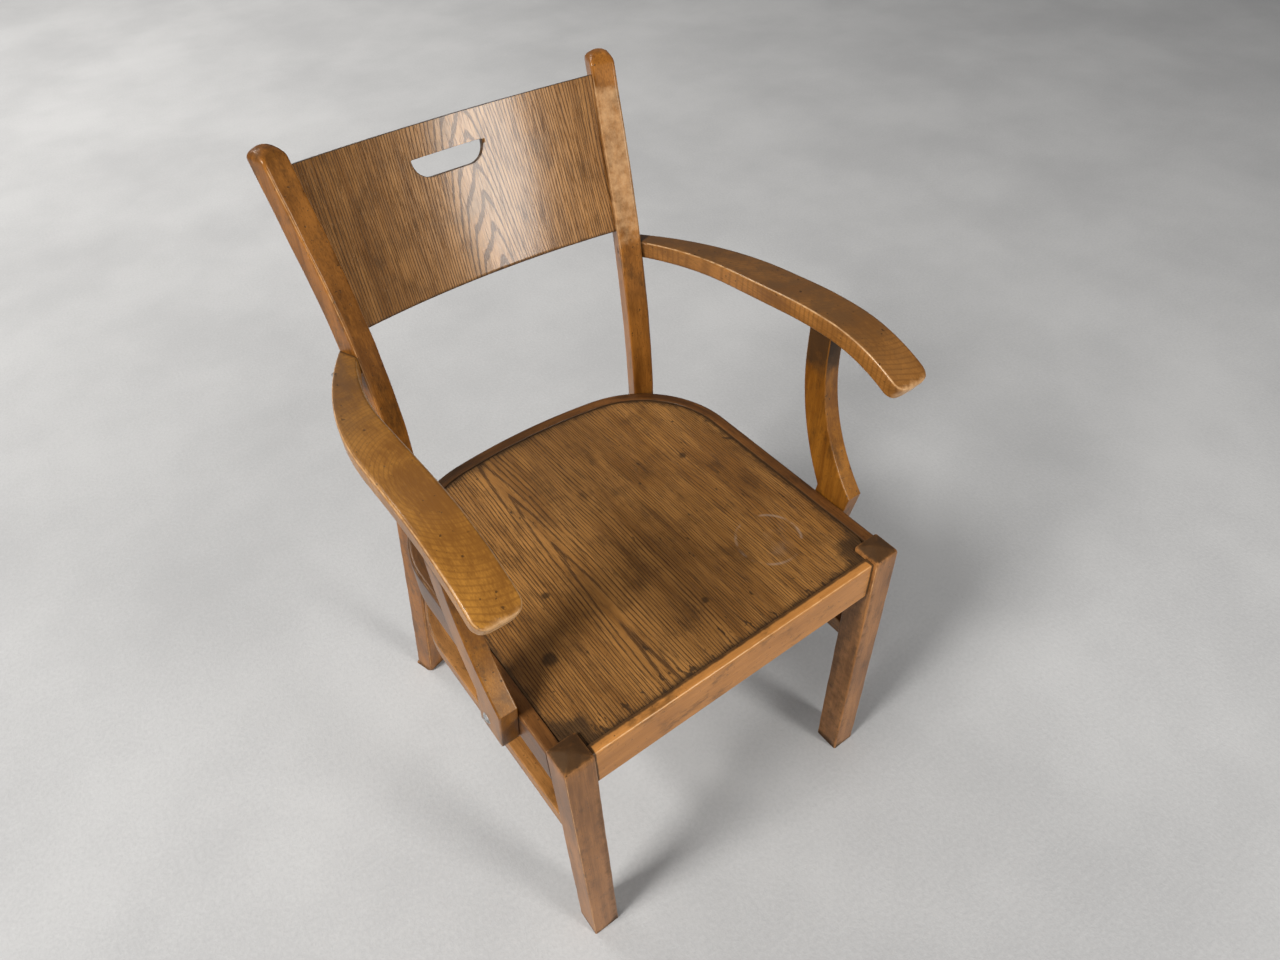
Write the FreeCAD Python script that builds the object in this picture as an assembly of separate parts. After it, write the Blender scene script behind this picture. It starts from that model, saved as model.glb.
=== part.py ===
import FreeCAD, Part
import math
import os

os.makedirs("parts", exist_ok=True)

# A captain's chair: square front legs, sawn rear posts, a bent seat hoop and a
# lower stretcher hoop, a plywood seat and back, and bowed arms on curved supports.
# Millimetres. +Z is up, the sitter faces -Y, and +X is the sitter's left side.
# The origin lies on the floor, half way across and half way from front to rear.

# Seat frame
SHOULDER_HEIGHT = 450.0      # front leg's square shoulder above the floor
SEAT_TILT = 1.45             # degrees that the seat frame falls towards the rear
FRAME_WIDTH = 495.0          # over the outer faces of the front legs
LEG_SIZE = 38.0
LEG_POINT_RISE = 5.0         # low worn pyramid on top of each front leg
LEG_POINT_FLAT = 7.0
LEG_ARRIS = 1.5              # width that each long corner is eased by
LEG_PROUD = 4.0              # leg shoulder above the top of the rails
RAIL_HEIGHT = 60.0
RAIL_THICKNESS = 26.0
RAIL_SETBACK = 5.0           # front rail's face behind the face of the legs
RAIL_BORDER = 13.0           # top of the front rail before the seat panel
RAIL_ARRIS = 3.0
HOOP_THICKNESS = 28.0
HOOP_CORNER_RADIUS = 155.0
HOOP_REAR_RADIUS = 800.0
SEAT_DEPTH = 498.0           # front face of the legs to the back of the hoop
RIM_WIDTH = 18.0             # top of the hoop outside the seat panel
RIM_ARRIS = 3.5              # bevel along the outside of the rim

# Seat panel
SEAT_PANEL_THICKNESS = 7.0
SEAT_PANEL_DROP = 2.0        # panel surface below the rim
SEAT_PANEL_GAP = 0.5

# Joints in the front legs
TENON_THICKNESS = 12.0
TENON_HEIGHT = 42.0
HOOP_TENON_LENGTH = 22.0
RAIL_TENON_LENGTH = 17.5
STRETCHER_TENON_SIZE = 16.0

# Stretcher hoop
STRETCHER_TOP = 167.0        # below the leg's shoulder
STRETCHER_HEIGHT = 27.0
STRETCHER_THICKNESS = 27.0
STRETCHER_WIDTH = 498.0      # over its widest place
STRETCHER_TOE_IN = 5.0       # each end stands this much further in
STRETCHER_CORNER_RADIUS = 185.0
STRETCHER_REAR_RADIUS = 800.0
STRETCHER_ARRIS = 2.0

# Rear posts
POST_WIDTH = 31.0
POST_DEPTH = 38.0            # at the bend
POST_TURN = 17.9             # degrees that its face turns towards the sitter
POST_LEAN = 1.8              # degrees that it leans in towards the top
POST_INNER_X = 179.0         # inner front arris at the seat rim
POST_FRONT_SLOPES = (-8.3, 20.5)   # degrees back from upright, below and above the bend
POST_REAR_SLOPES = (-7.7, 19.3)
POST_BEND_RADIUS = 900.0
POST_BEND_RISE = 125.0       # from the legs' shoulder to where the two straight runs meet
POST_RISE = 447.5            # from the legs' shoulder to the top
POST_TOP_ROUND = 11.0
POST_HOUSING = 4.0           # depth of the post's seat in the hoops

# Back panel
BACK_PANEL_THICKNESS = 8.0
BACK_PANEL_HEIGHT = 182.8
BACK_PANEL_DROP = 20.7       # its top below the top of the posts
BACK_PANEL_RADIUS = 600.0
BACK_PANEL_SETBACK = 5.0     # behind the front face of the posts
BACK_PANEL_TONGUE = 8.0
HAND_HOLE_WIDTH = 94.0
HAND_HOLE_HEIGHT = 24.0
HAND_HOLE_FROM_TOP = 35.5
HAND_HOLE_OFFSET = -8.0      # the hole sits to one side of the middle
HAND_HOLE_CORNER = 17.0
HAND_HOLE_UPPER_CORNER = 3.0

# Arms
ARM_OUTER_X = 283.5
ARM_WIDTH = 50.0
ARM_THICKNESS = 24.0
ARM_FRONT_Y = -240.0
ARM_OUTER_BEND_Y = -10.0     # the outer edge is straight in front of this
ARM_OUTER_BEND_RADIUS = 440.0
ARM_INNER_BEND_Y = 48.0
ARM_INNER_BEND_RADIUS = 390.0
ARM_CREST_Y = -125.0
ARM_CREST_RISE = 263.0       # above the legs' shoulder
ARM_REAR_SLOPE = 7.3         # degrees that it falls towards the post
ARM_CREST_REAR_RADIUS = 570.0
ARM_CREST_FRONT_RADIUS = 225.0
ARM_END_CORNER = 14.0
ARM_ARRIS = 2.5

# Arm supports
SUPPORT_THICKNESS = 23.0
SUPPORT_REAR_Y = -86.5
SUPPORT_FRONT_Y = -121.0
SUPPORT_NECK = 63.0          # upright length from its curves to the arm's top line
SUPPORT_REAR_RADIUS = 410.0
SUPPORT_FRONT_RADIUS = 275.0
SUPPORT_NOSE_RISE = 15.0     # above the legs' shoulder, in front
SUPPORT_KINK_RISE = 2.0      # and at the rear
SUPPORT_FOOT_FRONT_Y = -178.0
SUPPORT_FOOT_REAR_Y = -128.0

# Corner blocks
BLOCK_LEG = 62.0
BLOCK_HEIGHT = 34.0

# Fasteners
BOLT_RADIUS = 3.0
BOLT_HEAD_RADIUS = 7.5
BOLT_HEAD_RISE = 3.5
BOLT_Y = -150.0
BOLT_DROP = 42.0             # below the legs' shoulder
WASHER_RADIUS = 9.0
WASHER_THICKNESS = 1.5
NUT_ACROSS_FLATS = 10.0
NUT_THICKNESS = 5.0
BOLT_PAST_NUT = 2.0
SCREW_RADIUS = 2.4
SCREW_HEAD_RADIUS = 4.6
SCREW_HEAD_DEPTH = 3.2
POST_SCREW_LENGTH = 48.0
STRETCHER_SCREW_LENGTH = 45.0
ARM_SCREW_LENGTH = 62.0
DOWEL_RADIUS = 4.0
DOWEL_LENGTH = 34.0
SAWING_WASTE = 30.0          # left on each leg until its foot is sawn off at the floor

HALF_WIDTH = FRAME_WIDTH / 2
LEG_FRONT_Y = -281.5
LEG_REAR_Y = LEG_FRONT_Y + LEG_SIZE
LEG_INNER_X = HALF_WIDTH - LEG_SIZE
RAIL_FRONT_Y = LEG_FRONT_Y + RAIL_SETBACK
RAIL_TOP = -LEG_PROUD
PANEL_TOP = RAIL_TOP - SEAT_PANEL_DROP
REBATE_FLOOR = PANEL_TOP - SEAT_PANEL_THICKNESS
POST_BEND_HEIGHT = SHOULDER_HEIGHT + POST_BEND_RISE
POST_TOP = SHOULDER_HEIGHT + POST_RISE
BACK_PANEL_TOP = POST_TOP - BACK_PANEL_DROP
BACK_PANEL_BOTTOM = BACK_PANEL_TOP - BACK_PANEL_HEIGHT
ARM_CREST_HEIGHT = SHOULDER_HEIGHT + ARM_CREST_RISE
SUPPORT_CURVE_TOP = ARM_CREST_HEIGHT - SUPPORT_NECK
SUPPORT_NOSE_HEIGHT = SHOULDER_HEIGHT + SUPPORT_NOSE_RISE
SUPPORT_KINK_HEIGHT = SHOULDER_HEIGHT + SUPPORT_KINK_RISE
BOLT_HEIGHT = SHOULDER_HEIGHT - BOLT_DROP
FAR = 1500.0


def vec(x, y, z=0.0):
    return FreeCAD.Vector(x, y, z)


def prism(edges, rise):
    """Solid over a closed run of edges, carried along the vector rise."""
    return Part.Face(Part.Wire(edges)).extrude(rise)


def box(x0, x1, y0, y1, z0, z1):
    return Part.makeBox(x1 - x0, y1 - y0, z1 - z0, vec(x0, y0, z0))


def mirrored(shape):
    return shape.mirror(vec(0, 0), vec(1, 0))


def tilted(shape):
    """Lower the rear of the seat frame about the front legs' shoulder line."""
    out = shape.copy()
    out.translate(vec(0, 0, SHOULDER_HEIGHT))
    out.rotate(vec(0, LEG_FRONT_Y, SHOULDER_HEIGHT), vec(1, 0), -SEAT_TILT)
    return out


def above_floor(shape):
    return shape.cut(box(-FAR, FAR, -FAR, FAR, -FAR, 0))


class HoopPlan:
    """Plan of a bent hoop: straight sides, round corners and a flatter rear arc."""

    def __init__(self, half_width, corner_radius, rear_radius, corner_y, toe_in=0.0):
        self.corner_radius = corner_radius
        self.rear_radius = rear_radius
        self.corner = vec(half_width - corner_radius, corner_y)
        reach = rear_radius - corner_radius
        self.rear_y = corner_y - math.sqrt(reach ** 2 - self.corner.x ** 2)
        self.toe = math.atan2(toe_in, corner_y - LEG_REAR_Y)

    def corner_point(self, angle, inset):
        return self.corner + (self.corner_radius - inset) * vec(math.cos(angle), math.sin(angle))

    def side(self, inset, front_y):
        """Front end, start of the corner, its middle, and its end on the rear arc."""
        meet = math.atan2(self.corner.y - self.rear_y, self.corner.x)
        start = self.corner_point(-self.toe, inset)
        run = (start.y - front_y) / math.cos(self.toe)
        front = start - run * vec(math.sin(self.toe), math.cos(self.toe))
        middle = self.corner_point((meet - self.toe) / 2, inset)
        return front, start, middle, self.corner_point(meet, inset)

    def edges(self, inset, front_y):
        """Edges from the front end on +X, round the rear, to the front end on -X."""
        right = self.side(inset, front_y)
        left = [vec(-p.x, p.y) for p in right]
        apex = vec(0, self.rear_y + self.rear_radius - inset)
        curves = [
            Part.LineSegment(right[0], right[1]),
            Part.Arc(right[1], right[2], right[3]),
            Part.Arc(right[3], apex, left[3]),
            Part.Arc(left[3], left[2], left[1]),
            Part.LineSegment(left[1], left[0]),
        ]
        return [curve.toShape() for curve in curves]

    def band(self, inset, thickness, front_y, bottom, height):
        """Bent bar between two insets, from the height bottom upwards."""
        outer = self.edges(inset, front_y)
        inner = self.edges(inset + thickness, front_y)
        outer_ends = self.side(inset, front_y)[0]
        inner_ends = self.side(inset + thickness, front_y)[0]
        ends = []
        for sign in (1, -1):
            a = vec(sign * outer_ends.x, outer_ends.y)
            b = vec(sign * inner_ends.x, inner_ends.y)
            ends.append(Part.LineSegment(a, b).toShape())
        solid = prism(Part.__sortEdges__(outer + inner + ends), vec(0, 0, height))
        solid.translate(vec(0, 0, bottom))
        return solid

    def filled(self, inset, front_y, bottom, height):
        """Solid inside one inset of the hoop, closed by a straight front edge."""
        outline = self.edges(inset, front_y)
        end = self.side(inset, front_y)[0]
        outline.append(Part.LineSegment(vec(-end.x, end.y), vec(end.x, end.y)).toShape())
        solid = prism(Part.__sortEdges__(outline), vec(0, 0, height))
        solid.translate(vec(0, 0, bottom))
        return solid


def corner_y_for_apex(half_width, corner_radius, rear_radius, apex_y):
    """Y of the corner centre that puts the back of the hoop at apex_y."""
    reach = rear_radius - corner_radius
    centre_x = half_width - corner_radius
    return apex_y - rear_radius + math.sqrt(reach ** 2 - centre_x ** 2)


HOOP_APEX_Y = LEG_FRONT_Y + SEAT_DEPTH
HOOP_CORNER_Y = corner_y_for_apex(HALF_WIDTH, HOOP_CORNER_RADIUS, HOOP_REAR_RADIUS, HOOP_APEX_Y)
SEAT_PLAN = HoopPlan(HALF_WIDTH, HOOP_CORNER_RADIUS, HOOP_REAR_RADIUS, HOOP_CORNER_Y)


def seat_frame_height(y):
    """Height above the floor of the rail tops, at a distance y from the middle."""
    return SHOULDER_HEIGHT + RAIL_TOP - (y - LEG_FRONT_Y) * math.tan(math.radians(SEAT_TILT))


class BentEdge:
    """Long edge of a sawn post: two straight runs joined by an arc at the bend."""

    def __init__(self, depth, slopes):
        self.depth = depth
        self.below, self.above = [math.radians(slope) for slope in slopes]
        tangent = POST_BEND_RADIUS * math.tan((self.above - self.below) / 2)
        self.low = vec(0, depth - tangent * math.sin(self.below),
                       POST_BEND_HEIGHT - tangent * math.cos(self.below))
        self.high = vec(0, depth + tangent * math.sin(self.above),
                        POST_BEND_HEIGHT + tangent * math.cos(self.above))

    def at(self, height):
        """Point of the edge at a height, in the post's side plane."""
        rise = height - POST_BEND_HEIGHT
        if height <= self.low.z:
            return vec(0, self.depth + rise * math.tan(self.below), height)
        if height >= self.high.z:
            return vec(0, self.depth + rise * math.tan(self.above), height)
        centre = self.low + POST_BEND_RADIUS * vec(0, math.cos(self.below), -math.sin(self.below))
        sweep = math.sqrt(POST_BEND_RADIUS ** 2 - (height - centre.z) ** 2)
        return vec(0, centre.y - sweep, height)

    def edges(self, bottom, top):
        middle = self.at((self.low.z + self.high.z) / 2)
        return [
            Part.LineSegment(self.at(bottom), self.low).toShape(),
            Part.Arc(self.low, middle, self.high).toShape(),
            Part.LineSegment(self.high, self.at(top)).toShape(),
        ]


POST_FRONT = BentEdge(0, POST_FRONT_SLOPES)
POST_REAR = BentEdge(POST_DEPTH, POST_REAR_SLOPES)

# The post's inner front arris is let into the rounded corner of the seat hoop.
ARRIS_ANGLE = math.acos((POST_INNER_X - SEAT_PLAN.corner.x) / SEAT_PLAN.corner_radius)
ARRIS_ON_RIM = SEAT_PLAN.corner_point(ARRIS_ANGLE, POST_HOUSING)
ARRIS_HEIGHT = seat_frame_height(ARRIS_ON_RIM.y)


def into_post_place(shape):
    """Carry a shape from the post's own frame, arris at X = 0, to the +X side of the chair."""
    out = shape.copy()
    out.translate(-POST_FRONT.at(ARRIS_HEIGHT))
    out.rotate(vec(0, 0), vec(0, 1), -POST_LEAN)
    out.rotate(vec(0, 0), vec(0, 0, 1), -POST_TURN)
    out.translate(vec(ARRIS_ON_RIM.x, ARRIS_ON_RIM.y, ARRIS_HEIGHT))
    return out


def post_point(across, depth, height):
    """A point of the post: across its face, behind its front, at a height along it."""
    spot = into_post_place(Part.Vertex(POST_FRONT.at(height) + vec(across, depth)))
    return spot.Point


def make_post():
    """Rear leg and back stile in one sawn piece, with a rounded top."""
    bottom = -SAWING_WASTE
    ends = []
    for z in (bottom, POST_TOP):
        ends.append(Part.LineSegment(POST_FRONT.at(z), POST_REAR.at(z)).toShape())
    outline = POST_FRONT.edges(bottom, POST_TOP) + POST_REAR.edges(bottom, POST_TOP) + ends
    blank = prism(Part.__sortEdges__(outline), vec(POST_WIDTH, 0))
    top_edges = [e for e in blank.Edges if e.BoundBox.ZMin > POST_TOP - 0.1]
    blank = blank.makeFillet(POST_TOP_ROUND, top_edges)
    return above_floor(into_post_place(blank))


def make_front_leg():
    """Square leg on the +X side, square to the seat, with a low pyramid on top."""
    length = SHOULDER_HEIGHT + SAWING_WASTE
    bar = box(LEG_INNER_X, HALF_WIDTH, LEG_FRONT_Y, LEG_REAR_Y, -length, LEG_POINT_RISE)
    upright = [e for e in bar.Edges if e.BoundBox.ZLength > length]
    bar = bar.makeChamfer(LEG_ARRIS, upright)
    centre = vec(HALF_WIDTH - LEG_SIZE / 2, LEG_FRONT_Y + LEG_SIZE / 2)
    rings = []
    for half, z in ((LEG_SIZE / 2, 0), (LEG_POINT_FLAT / 2, LEG_POINT_RISE)):
        corners = [vec(centre.x + sx * half, centre.y + sy * half, z)
                   for sx, sy in ((-1, -1), (1, -1), (1, 1), (-1, 1), (-1, -1))]
        rings.append(Part.makePolygon(corners))
    point = Part.makeLoft(rings, True, True)
    under = box(LEG_INNER_X, HALF_WIDTH, LEG_FRONT_Y, LEG_REAR_Y, -length, 0)
    return above_floor(tilted(bar.common(under.fuse(point))))


def make_seat_hoop():
    """Bent hoop: bevelled rim, a rebate for the panel and a tenon at each front end."""
    bottom = RAIL_TOP - RAIL_HEIGHT
    hoop = SEAT_PLAN.band(0, HOOP_THICKNESS, LEG_REAR_Y, bottom, RAIL_HEIGHT)
    long_edges = [e for e in hoop.Edges if e.BoundBox.ZLength < 0.1 and e.Length > LEG_SIZE]
    rim = [e for e in long_edges if abs(e.BoundBox.ZMax - RAIL_TOP) < 0.1]
    hoop = hoop.makeChamfer(RIM_ARRIS, [e for e in rim if runs_outside(e)])
    rebate = SEAT_PLAN.filled(RIM_WIDTH, LEG_FRONT_Y, REBATE_FLOOR, FAR)
    hoop = hoop.cut(rebate)
    hoop = hoop.fuse([mirrored(hoop_tenon()), hoop_tenon()]).removeSplitter()
    return tilted(hoop)


def runs_outside(edge):
    """True for an edge that runs along the outer side of the seat plan."""
    middle = edge.valueAt((edge.FirstParameter + edge.LastParameter) / 2)
    outline = Part.Wire(SEAT_PLAN.edges(0, LEG_REAR_Y))
    return outline.distToShape(Part.Vertex(middle.x, middle.y, 0))[0] < 0.1


def hoop_tenon():
    middle_x = HALF_WIDTH - HOOP_THICKNESS / 2
    middle_z = RAIL_TOP - RAIL_HEIGHT / 2
    return box(middle_x - TENON_THICKNESS / 2, middle_x + TENON_THICKNESS / 2,
               LEG_REAR_Y - HOOP_TENON_LENGTH, LEG_REAR_Y,
               middle_z - TENON_HEIGHT / 2, middle_z + TENON_HEIGHT / 2)


def make_front_rail():
    """Straight front rail with a tenon at each end and a rebate for the panel."""
    rear_y = RAIL_FRONT_Y + RAIL_THICKNESS
    rail = box(-LEG_INNER_X, LEG_INNER_X, RAIL_FRONT_Y, rear_y, RAIL_TOP - RAIL_HEIGHT, RAIL_TOP)
    front_edges = [e for e in rail.Edges
                   if e.BoundBox.XLength > LEG_SIZE and e.BoundBox.YMax < RAIL_FRONT_Y + 0.1]
    rail = rail.makeFillet(RAIL_ARRIS, front_edges)
    rebate = box(-FAR, FAR, RAIL_FRONT_Y + RAIL_BORDER, FAR, REBATE_FLOOR, FAR)
    middle_y = RAIL_FRONT_Y + RAIL_THICKNESS / 2
    middle_z = RAIL_TOP - RAIL_HEIGHT / 2
    reach = LEG_INNER_X + RAIL_TENON_LENGTH
    tenon = box(-reach, reach, middle_y - TENON_THICKNESS / 2, middle_y + TENON_THICKNESS / 2,
                middle_z - TENON_HEIGHT / 2, middle_z + TENON_HEIGHT / 2)
    return tilted(rail.cut(rebate).fuse(tenon).removeSplitter())


def make_seat_panel():
    """Plywood seat in the rebates, cut round the inner corners of the front legs."""
    front_y = RAIL_FRONT_Y + RAIL_BORDER + SEAT_PANEL_GAP
    panel = SEAT_PLAN.filled(RIM_WIDTH + SEAT_PANEL_GAP, front_y, REBATE_FLOOR, SEAT_PANEL_THICKNESS)
    notch = box(LEG_INNER_X - SEAT_PANEL_GAP, FAR, -FAR, LEG_REAR_Y + SEAT_PANEL_GAP, -FAR, FAR)
    return tilted(panel.cut([notch, mirrored(notch)]))


def stretcher_plan():
    """The stretcher's plan, reaching back until the rear posts are let into its corners."""
    half = STRETCHER_WIDTH / 2
    middle = SHOULDER_HEIGHT - STRETCHER_TOP - STRETCHER_HEIGHT / 2
    fall = (SEAT_DEPTH - LEG_SIZE) * math.tan(math.radians(SEAT_TILT))
    arris = post_point(0, 0, middle - fall)
    across = arris.x - (half - STRETCHER_CORNER_RADIUS)
    radius = STRETCHER_CORNER_RADIUS - POST_HOUSING
    corner_y = arris.y - math.sqrt(radius ** 2 - across ** 2)
    return HoopPlan(half, STRETCHER_CORNER_RADIUS, STRETCHER_REAR_RADIUS, corner_y, STRETCHER_TOE_IN)


def make_stretcher():
    """Lower bent hoop, tenoned to the front legs and let into the rear ones."""
    plan = stretcher_plan()
    bottom = -STRETCHER_TOP - STRETCHER_HEIGHT
    hoop = plan.band(0, STRETCHER_THICKNESS, LEG_REAR_Y, bottom, STRETCHER_HEIGHT)
    upper = [e for e in hoop.Edges if e.BoundBox.ZMin > bottom + STRETCHER_HEIGHT - 0.1]
    hoop = hoop.makeChamfer(STRETCHER_ARRIS, [e for e in upper if e.Length > LEG_SIZE])
    end = plan.side(STRETCHER_THICKNESS / 2, LEG_REAR_Y)[0]
    half = STRETCHER_TENON_SIZE / 2
    middle_z = bottom + STRETCHER_HEIGHT / 2
    tenon = box(end.x - half, end.x + half, LEG_REAR_Y - HOOP_TENON_LENGTH, LEG_REAR_Y,
                middle_z - half, middle_z + half)
    return tilted(hoop.fuse([tenon, mirrored(tenon)]).removeSplitter())


def back_panel_line():
    """Points of the panel's front face on the post's inner face, low and high."""
    low = post_point(0, BACK_PANEL_SETBACK, BACK_PANEL_BOTTOM)
    high = post_point(0, BACK_PANEL_SETBACK, BACK_PANEL_TOP)
    return low, high


def make_back_panel():
    """Bent plywood back, hollow to the sitter, with a half-round hand hole."""
    low, high = back_panel_line()
    length = math.hypot(high.y - low.y, high.z - low.z)
    rake = math.degrees(math.atan2(high.y - low.y, high.z - low.z))
    chord = (low.x + high.x) / 2
    centre_y = -math.sqrt(BACK_PANEL_RADIUS ** 2 - chord ** 2)
    half = high.x + POST_WIDTH
    edges = []
    ends = []
    for radius in (BACK_PANEL_RADIUS, BACK_PANEL_RADIUS + BACK_PANEL_THICKNESS):
        side_y = centre_y + math.sqrt(radius ** 2 - half ** 2)
        edges.append(Part.Arc(vec(half, side_y), vec(0, centre_y + radius), vec(-half, side_y)).toShape())
        ends.append(side_y)
    for sign in (1, -1):
        edges.append(Part.LineSegment(vec(sign * half, ends[0]), vec(sign * half, ends[1])).toShape())
    sheet = prism(Part.__sortEdges__(edges), vec(0, 0, length))
    wide = high.x + BACK_PANEL_TONGUE
    narrow = low.x + BACK_PANEL_TONGUE
    corners = [vec(narrow, -FAR, 0), vec(wide, -FAR, length), vec(-wide, -FAR, length), vec(-narrow, -FAR, 0)]
    outline = Part.makePolygon(corners + [corners[0]])
    panel = sheet.common(Part.Face(outline).extrude(vec(0, 2 * FAR)))
    panel = panel.cut(hand_hole(length - HAND_HOLE_FROM_TOP))
    panel.rotate(vec(0, 0), vec(1, 0), -rake)
    panel.translate(vec(0, low.y, low.z))
    return panel


def hand_hole(top):
    """Half-round hole: a straight upper edge and two large lower corners."""
    half = HAND_HOLE_WIDTH / 2
    blank = box(HAND_HOLE_OFFSET - half, HAND_HOLE_OFFSET + half, -FAR, FAR,
                top - HAND_HOLE_HEIGHT, top)
    through = [e for e in blank.Edges if e.BoundBox.YLength > FAR]
    lower = [e for e in through if e.BoundBox.ZMax < top - 1]
    blank = blank.makeFillet(HAND_HOLE_CORNER, lower)
    upper = [e for e in blank.Edges if e.BoundBox.YLength > FAR and e.BoundBox.ZMin > top - 0.1]
    return blank.makeFillet(HAND_HOLE_UPPER_CORNER, upper)


def arm_plan():
    """Plan of the arm on the +X side: straight in front, bowed in towards the post."""
    inner_x = ARM_OUTER_X - ARM_WIDTH
    front_y = ARM_FRONT_Y - LEG_SIZE
    rear_y = ARRIS_ON_RIM.y + 2 * POST_DEPTH
    outer_end = bowed_edge(ARM_OUTER_X, ARM_OUTER_BEND_Y, ARM_OUTER_BEND_RADIUS, rear_y)
    inner_end = bowed_edge(inner_x, ARM_INNER_BEND_Y, ARM_INNER_BEND_RADIUS, rear_y)
    outer_bend = vec(ARM_OUTER_X, ARM_OUTER_BEND_Y)
    inner_bend = vec(inner_x, ARM_INNER_BEND_Y)
    curves = [
        Part.LineSegment(vec(inner_x, front_y), inner_bend),
        Part.Arc(inner_bend, inner_end[0], inner_end[1]),
        Part.LineSegment(inner_end[1], outer_end[1]),
        Part.Arc(outer_end[1], outer_end[0], outer_bend),
        Part.LineSegment(outer_bend, vec(ARM_OUTER_X, front_y)),
        Part.LineSegment(vec(ARM_OUTER_X, front_y), vec(inner_x, front_y)),
    ]
    return [curve.toShape() for curve in curves]


def bowed_edge(x, bend_y, radius, end_y):
    """Middle and end of an arc that leaves X = x at bend_y and bows inwards to end_y."""
    points = []
    for y in ((bend_y + end_y) / 2, end_y):
        points.append(vec(x - radius + math.sqrt(radius ** 2 - (y - bend_y) ** 2), y))
    return points


def arm_level(y, drop=0.0):
    """Point of the arm's top line behind the crest, or of a line parallel below it."""
    slope = math.radians(ARM_REAR_SLOPE)
    radius = ARM_CREST_REAR_RADIUS - drop
    centre_z = ARM_CREST_HEIGHT - ARM_CREST_REAR_RADIUS
    bend = vec(0, ARM_CREST_Y + radius * math.sin(slope), centre_z + radius * math.cos(slope))
    if y > bend.y:
        return vec(0, y, bend.z - (y - bend.y) * math.tan(slope))
    return vec(0, y, centre_z + math.sqrt(radius ** 2 - (y - ARM_CREST_Y) ** 2))


def arm_side():
    """Side of the arm: two arcs meet at the crest, and the front end is cut square to it."""
    rear_y = ARRIS_ON_RIM.y + 3 * POST_DEPTH
    slope = math.radians(ARM_REAR_SLOPE)
    tip = math.asin((ARM_CREST_Y - ARM_FRONT_Y) / ARM_CREST_FRONT_RADIUS)
    centre = vec(0, ARM_CREST_Y, ARM_CREST_HEIGHT - ARM_CREST_FRONT_RADIUS)
    edges = []
    fronts = []
    rears = []
    for drop in (0, ARM_THICKNESS):
        radius = ARM_CREST_FRONT_RADIUS - drop
        crest = vec(0, ARM_CREST_Y, ARM_CREST_HEIGHT - drop)
        middle = centre + radius * vec(0, -math.sin(tip / 2), math.cos(tip / 2))
        front = centre + radius * vec(0, -math.sin(tip), math.cos(tip))
        bend = arm_level(ARM_CREST_Y + (ARM_CREST_REAR_RADIUS - drop) * math.sin(slope), drop)
        rear = arm_level(rear_y, drop)
        edges.append(Part.Arc(front, middle, crest).toShape())
        edges.append(Part.Arc(crest, arm_level((crest.y + bend.y) / 2, drop), bend).toShape())
        edges.append(Part.LineSegment(bend, rear).toShape())
        fronts.append(front)
        rears.append(rear)
    edges.append(Part.LineSegment(fronts[0], fronts[1]).toShape())
    edges.append(Part.LineSegment(rears[0], rears[1]).toShape())
    return edges


def make_arm():
    """Arm on the +X side, sawn to its side view and to its plan, butted on the post."""
    board = prism(arm_plan(), vec(0, 0, FAR))
    arch = prism(Part.__sortEdges__(arm_side()), vec(FAR, 0))
    arm = board.common(arch)
    corners = [e for e in arm.Edges if e.BoundBox.XLength < 0.1 and e.CenterOfMass.y < ARM_CREST_Y
               and abs(e.Length - ARM_THICKNESS) < 0.1]
    arm = arm.makeFillet(ARM_END_CORNER, corners)
    arm = arm.cut(into_post_place(box(-FAR, POST_WIDTH, -FAR, FAR, 0, FAR)))
    rims = [e for e in arm.Edges if e.Length > ARM_END_CORNER and not against_post(e)]
    return arm.makeChamfer(ARM_ARRIS, rims)


def against_post(edge):
    """True for an edge that lies in the plane of the post's outer face."""
    plane = into_post_place(Part.makePlane(2 * FAR, 2 * FAR, vec(POST_WIDTH, -FAR, 2 * FAR), vec(1, 0, 0)))
    ends = [Part.Vertex(edge.valueAt(p)) for p in (edge.FirstParameter, edge.LastParameter)]
    return all(plane.distToShape(end)[0] < 0.01 for end in ends)


def support_side():
    """Side of the support: two sweeping edges, a nose, and a foot level with the hoop."""
    top = ARM_CREST_HEIGHT - ARM_THICKNESS / 2
    front = SUPPORT_FRONT_Y
    rear = SUPPORT_REAR_Y

    def swept(y, radius, z):
        return vec(0, y - radius + math.sqrt(radius ** 2 - (SUPPORT_CURVE_TOP - z) ** 2), z)

    nose = swept(front, SUPPORT_FRONT_RADIUS, SUPPORT_NOSE_HEIGHT)
    kink = swept(rear, SUPPORT_REAR_RADIUS, SUPPORT_KINK_HEIGHT)
    nose_mid = swept(front, SUPPORT_FRONT_RADIUS, (SUPPORT_CURVE_TOP + SUPPORT_NOSE_HEIGHT) / 2)
    kink_mid = swept(rear, SUPPORT_REAR_RADIUS, (SUPPORT_CURVE_TOP + SUPPORT_KINK_HEIGHT) / 2)
    foot_front = vec(0, SUPPORT_FOOT_FRONT_Y, foot_height(SUPPORT_FOOT_FRONT_Y))
    foot_rear = vec(0, SUPPORT_FOOT_REAR_Y, foot_height(SUPPORT_FOOT_REAR_Y))
    curves = [
        Part.LineSegment(vec(0, front, top), vec(0, front, SUPPORT_CURVE_TOP)),
        Part.Arc(vec(0, front, SUPPORT_CURVE_TOP), nose_mid, nose),
        Part.LineSegment(nose, foot_front),
        Part.LineSegment(foot_front, foot_rear),
        Part.LineSegment(foot_rear, kink),
        Part.Arc(kink, kink_mid, vec(0, rear, SUPPORT_CURVE_TOP)),
        Part.LineSegment(vec(0, rear, SUPPORT_CURVE_TOP), vec(0, rear, top)),
        Part.LineSegment(vec(0, rear, top), vec(0, front, top)),
    ]
    return [curve.toShape() for curve in curves]


def foot_height(y):
    return seat_frame_height(y) - RAIL_HEIGHT


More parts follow.
